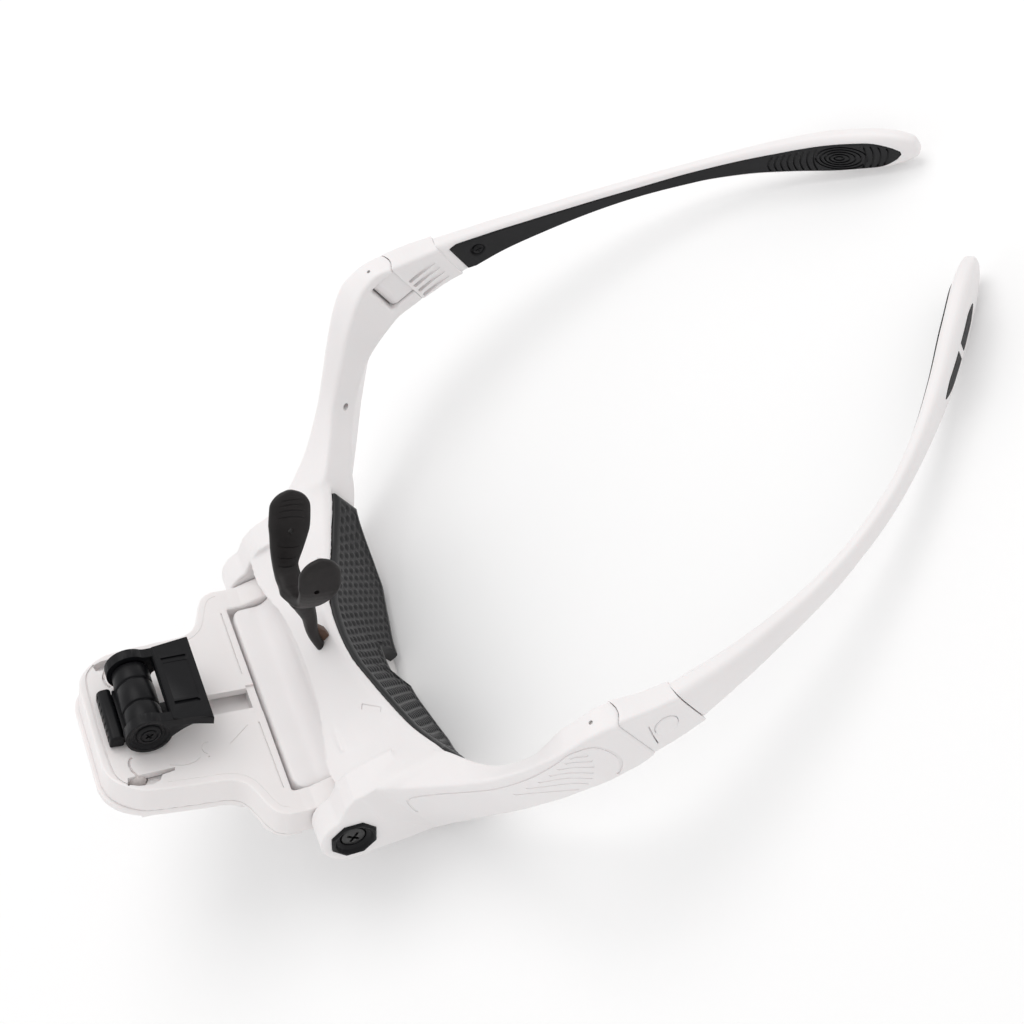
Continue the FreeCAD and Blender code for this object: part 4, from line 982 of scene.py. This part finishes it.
ys = [16.27, 16.5] + list(np.linspace(17.5, 122.0, 92)) + [122.3, 122.5, 122.6]
rings = [t_ring(y, k={16.27: 0.985, 122.3: 0.93, 122.5: 0.8, 122.6: 0.55}.get(y, 1.0)) for y in ys]
tem = loft("tem", rings)


def grip_rim(y):
    tipf = min(1.0, max(0.0, (y - 76.0) / 20.0))
    c, la, w, th, h = t_frame(y)
    midf = min(1.0, max(0.0, 1 - abs(y - 66.0) / 34.0))
    rt, rb = 1.1 + 0.6 * tipf + 0.3 * midf, 0.5 + 0.6 * tipf
    lo, hi = -h / 2 + rb, h / 2 - rt
    mid = (lo + hi) / 2
    k = 1.0
    if y > 113.6:
        k = math.sqrt(max(0.0, 1 - ((y - 113.6) / 6.2) ** 2))
    if y < 20.6:
        k = 0.86 + 0.14 * min(1, max(0, (y - 18.4) / 2.0))
    return c, la, w, th, mid + (lo - mid) * k, mid + (hi - mid) * k


def grip_solid(y0, y1, proud, depth, n=100, shrink=0.0, name="g"):
    rings = []
    for y in np.linspace(y0, y1, n):
        c, la, w, th, lo, hi = grip_rim(y)
        lo, hi = lo + shrink, hi - shrink
        if hi - lo < 0.3:
            m = (lo + hi) / 2
            lo, hi = m - 0.15, m + 0.15
        d = depth if y < 45 else depth * 0.73
        e = min(0.25, (hi - lo) * 0.2)
        rings.append([c + la * (-th / 2 - proud + 0.0) + w * (lo + e), c + la * (-th / 2 - proud) + w * (hi - e),
                      c + la * (-th / 2 - proud + e) + w * hi, c + la * (-th / 2 + d) + w * hi,
                      c + la * (-th / 2 + d) + w * lo, c + la * (-th / 2 - proud + e) + w * lo])
    return loft(name, rings)


tem = cut(tem, grip_solid(18.4, 119.7, 1.5, 1.3))
wins = []
for y0, y1 in ((96.0, 104.5), (106.0, 114.2)):
    for tool in (0, 1):
        rings = []
        for y in np.linspace(y0 + 0.04 * (1 - tool), y1 - 0.04 * (1 - tool), 14):
            c, la, w, th, h = t_frame(y)
            f = (y - y0) / (y1 - y0)
            k = (min(1, f / 0.35) ** 0.6 if y0 < 100 else min(1, (1 - f) / 0.35) ** 0.6)
            k = max(k, 0.12)
            hh = (1.75 * k) - (0.0 if tool else 0.05)
            out = 0.6 if tool else 0.1
            rings.append([c + la * (-0.9) + w * (-hh), c + la * (-0.9) + w * hh, c + la * (th / 2 + out) + w * hh, c + la * (th / 2 + out) + w * (-hh)])
        o = loft("w", rings)
        if tool:
            tem = cut(tem, o)
        else:
            wins.append(o)
tem = cut(tem, cyl((70, 23.5, -16.5), (1, 0, 0), 0.8, 6.2, 24))
tem = add(tem, tang(0.0, 7.6, 1.6))

g = grip_solid(18.45, 119.6, 0.12, 1.25, 260, 0.06)
# groove round the tip, whorl ridges like a finger grip, and cross ribs
gt = []
for k in range(5):
    a, b = 0.9 + 1.0 * k, 0.6 + 0.72 * k
    pts, nn = [], []
    for j in range(41):
        an = 2 * math.pi * j / 40
        y = 108.2 + a * math.cos(an) + 0.1 * k
        dz = b * math.sin(an)
        c, la, w, th, lo, hi = grip_rim(y)
        dz = max(lo + 0.45, min(hi - 0.45, (lo + hi) / 2 + dz))
        pts.append(c + la * (-th / 2 - 0.12) + w * dz)
        nn.append(-la)
    gt.append((pts, nn))
for pts, nn in gt:
    g = cut(g, ribbon(pts[:21], 0.46, nn[:21], 0.6, 0.34))
    g = cut(g, ribbon(pts[20:], 0.46, nn[20:], 0.6, 0.34))
for sgn, y0, n in ((-1, 103.2, 8), (1, 113.4, 4)):
    for k in range(n):
        yc = y0 + sgn * 1.35 * k
        pts, nn = [], []
        for j in range(9):
            t = -1 + j / 4
            y = yc + 0.9 * t - sgn * 0.7 * t * t
            c, la, w, th, lo, hi = grip_rim(y)
            hh = max(0.2, (hi - lo) / 2 - 0.55)
            pts.append(c + la * (-th / 2 - 0.12) + w * ((lo + hi) / 2 + t * hh))
            nn.append(-la)
        g = cut(g, ribbon(pts, 0.5, nn, 0.6, 0.34))
c, la, w, th, lo, hi = grip_rim(23.5)
g = cut(g, lathe("d", c + la * (-th / 2 - 0.5), la, [(2.3, 0), (1.9, 0.5), (1.6, 0.8), (1.55, 1.1)], 40), cyl((70, 23.5, -16.5), (1, 0, 0), 0.85, 8, 24))
g = merge(g, *wins)
ts = merge(cross_head((73.35, 23.5, -16.5), (-1, 0, 0), 1.45, 0.6), cyl((73.3, 23.5, -16.5), (1, 0, 0), 0.77, 2.8, 24))



def rim_cover(y0, y1, w, out, deep):
    rings = []
    for y in np.linspace(y0, y1, 40):
        c, la, up_, th, lo, hi = grip_rim(y)
        k = min(1.0, (y - y0) / 1.5 + 0.2, (y1 - y) / 10.0 + 0.02)
        rings.append([c + la * (-th / 2 - out) + up_ * (hi - w * k), c + la * (-th / 2 - out) + up_ * (hi + 0.1),
                      c + la * (-th / 2 + deep) + up_ * (hi + 0.1), c + la * (-th / 2 + deep) + up_ * (hi - w * k)])
    return loft("rim", rings)


for s, n in ((1, "right"), (-1, "left")):
    m = SWING if s > 0 else MIRROR
    if s > 0:
        g_l, tem_l = copy(g), copy(tem)
        g = cut(g, rim_cover(18.0, 62.0, 1.25, 1.0, 2.2))
        tem = add(tem, rim_cover(18.2, 62.0, 1.2, -0.12, 1.5))
    else:
        drop(g), drop(tem)
        g, tem = g_l, tem_l
    finish(copy(con), "hinge_block_" + n, "connector_" + n, WHITE, to=m, replaces=("connector_" + n,), angle=38)
    finish(copy(btn), "push_button_" + n, "button_" + n, WHITE, to=m, replaces=("release_button_" + n,))
    finish(copy(tem), "temple_" + n, "temple_" + n, WHITE, to=m, replaces=("temple_arm_" + n,), angle=40)
    finish(copy(g), "temple_inlay_" + n, "temple_" + n, GRIP, to=m, replaces=("temple_grip_" + n,), angle=40)
    finish(copy(ts), "temple_pin_" + n, "temple_" + n, BLACK, to=m, replaces=("temple_screw_" + n,))
for o in (con, btn, tem, g, ts):
    drop(o)

# ------------------------------------------------------------------ pieces that keep their CAD shape
for n, m in (("brow_cover", WHITE), ("nose_post", RUBBER), ("hinge_pin_left", STEEL), ("hinge_pin_right", STEEL), ("coin_cells", CELL),
             ("battery_contact", BRASS), ("led_board", BOARD), ("bracket_pin", STEEL)):
    o = nodes[n]
    o.data.materials.clear()
    o.data.materials.append(m)

# ------------------------------------------------------------------ floor, light, camera
fl = bpy.data.meshes.new("floor")
fl.from_pydata([(-4, -4, 0), (4, -4, 0), (4, 4, 0), (-4, 4, 0)], [], [(0, 1, 2, 3)])
floor = bpy.data.objects.new("floor", fl)
scene.collection.objects.link(floor)
floor.location.z = -0.0003
fm = bpy.data.materials.new("floor_white")
fm.use_nodes = True
fb = fm.node_tree.nodes["Principled BSDF"]
fb.inputs["Base Color"].default_value = (0.93, 0.93, 0.93, 1)
fb.inputs["Roughness"].default_value = 0.9
fb.inputs["Specular IOR Level"].default_value = 0.1
fl.materials.append(fm)

world = bpy.data.worlds.new("studio")
world.use_nodes = True
world.node_tree.nodes["Background"].inputs["Color"].default_value = (1, 1, 1, 1)
world.node_tree.nodes["Background"].inputs["Strength"].default_value = 0.835
scene.world = world


def area(name, loc, target, size, power, color=(1, 1, 1)):
    l = bpy.data.lights.new(name, "AREA")
    l.size, l.energy, l.color = size, power, color
    o = bpy.data.objects.new(name, l)
    scene.collection.objects.link(o)
    o.location = loc
    o.rotation_euler = (Vector(target) - Vector(loc)).to_track_quat("-Z", "Y").to_euler()
    return o


area("key", (-0.35, 0.25, 0.9), (0, 0, 0), 0.7, 2.9, (1.0, 0.985, 0.98))
area("fill", (0.1, -0.9, 0.55), (0, 0, 0), 0.7, 0.9, (1.0, 0.98, 0.99))

cam_d = bpy.data.cameras.new("cam")
cam = bpy.data.objects.new("cam", cam_d)
scene.collection.objects.link(cam)
cam_d.sensor_width, cam_d.lens = 36.0, 2107.0 * 36 / 1024
cam_d.clip_start, cam_d.clip_end = 0.01, 20
right = Vector((0.346044971627261, 0.7778179123156271, -0.5246448064094864))
up = Vector((-0.6867020682468449, 0.5910045815151178, 0.42326570153231907))
back = Vector((0.6392911285767963, 0.21380570597881576, 0.7386433327485643))
pos = ROW @ Vector((310.84214, 103.53033, 339.30334))
R3 = Matrix.Rotation(rad(TRIM), 3, "X")
rm = Matrix((R3 @ right, R3 @ up, R3 @ back)).transposed()
cam.matrix_world = Matrix.Translation(pos) @ rm.to_4x4()
scene.camera = cam
scene.view_settings.view_transform = "Standard"
scene.view_settings.look = "None"
scene.view_settings.exposure = 0.0
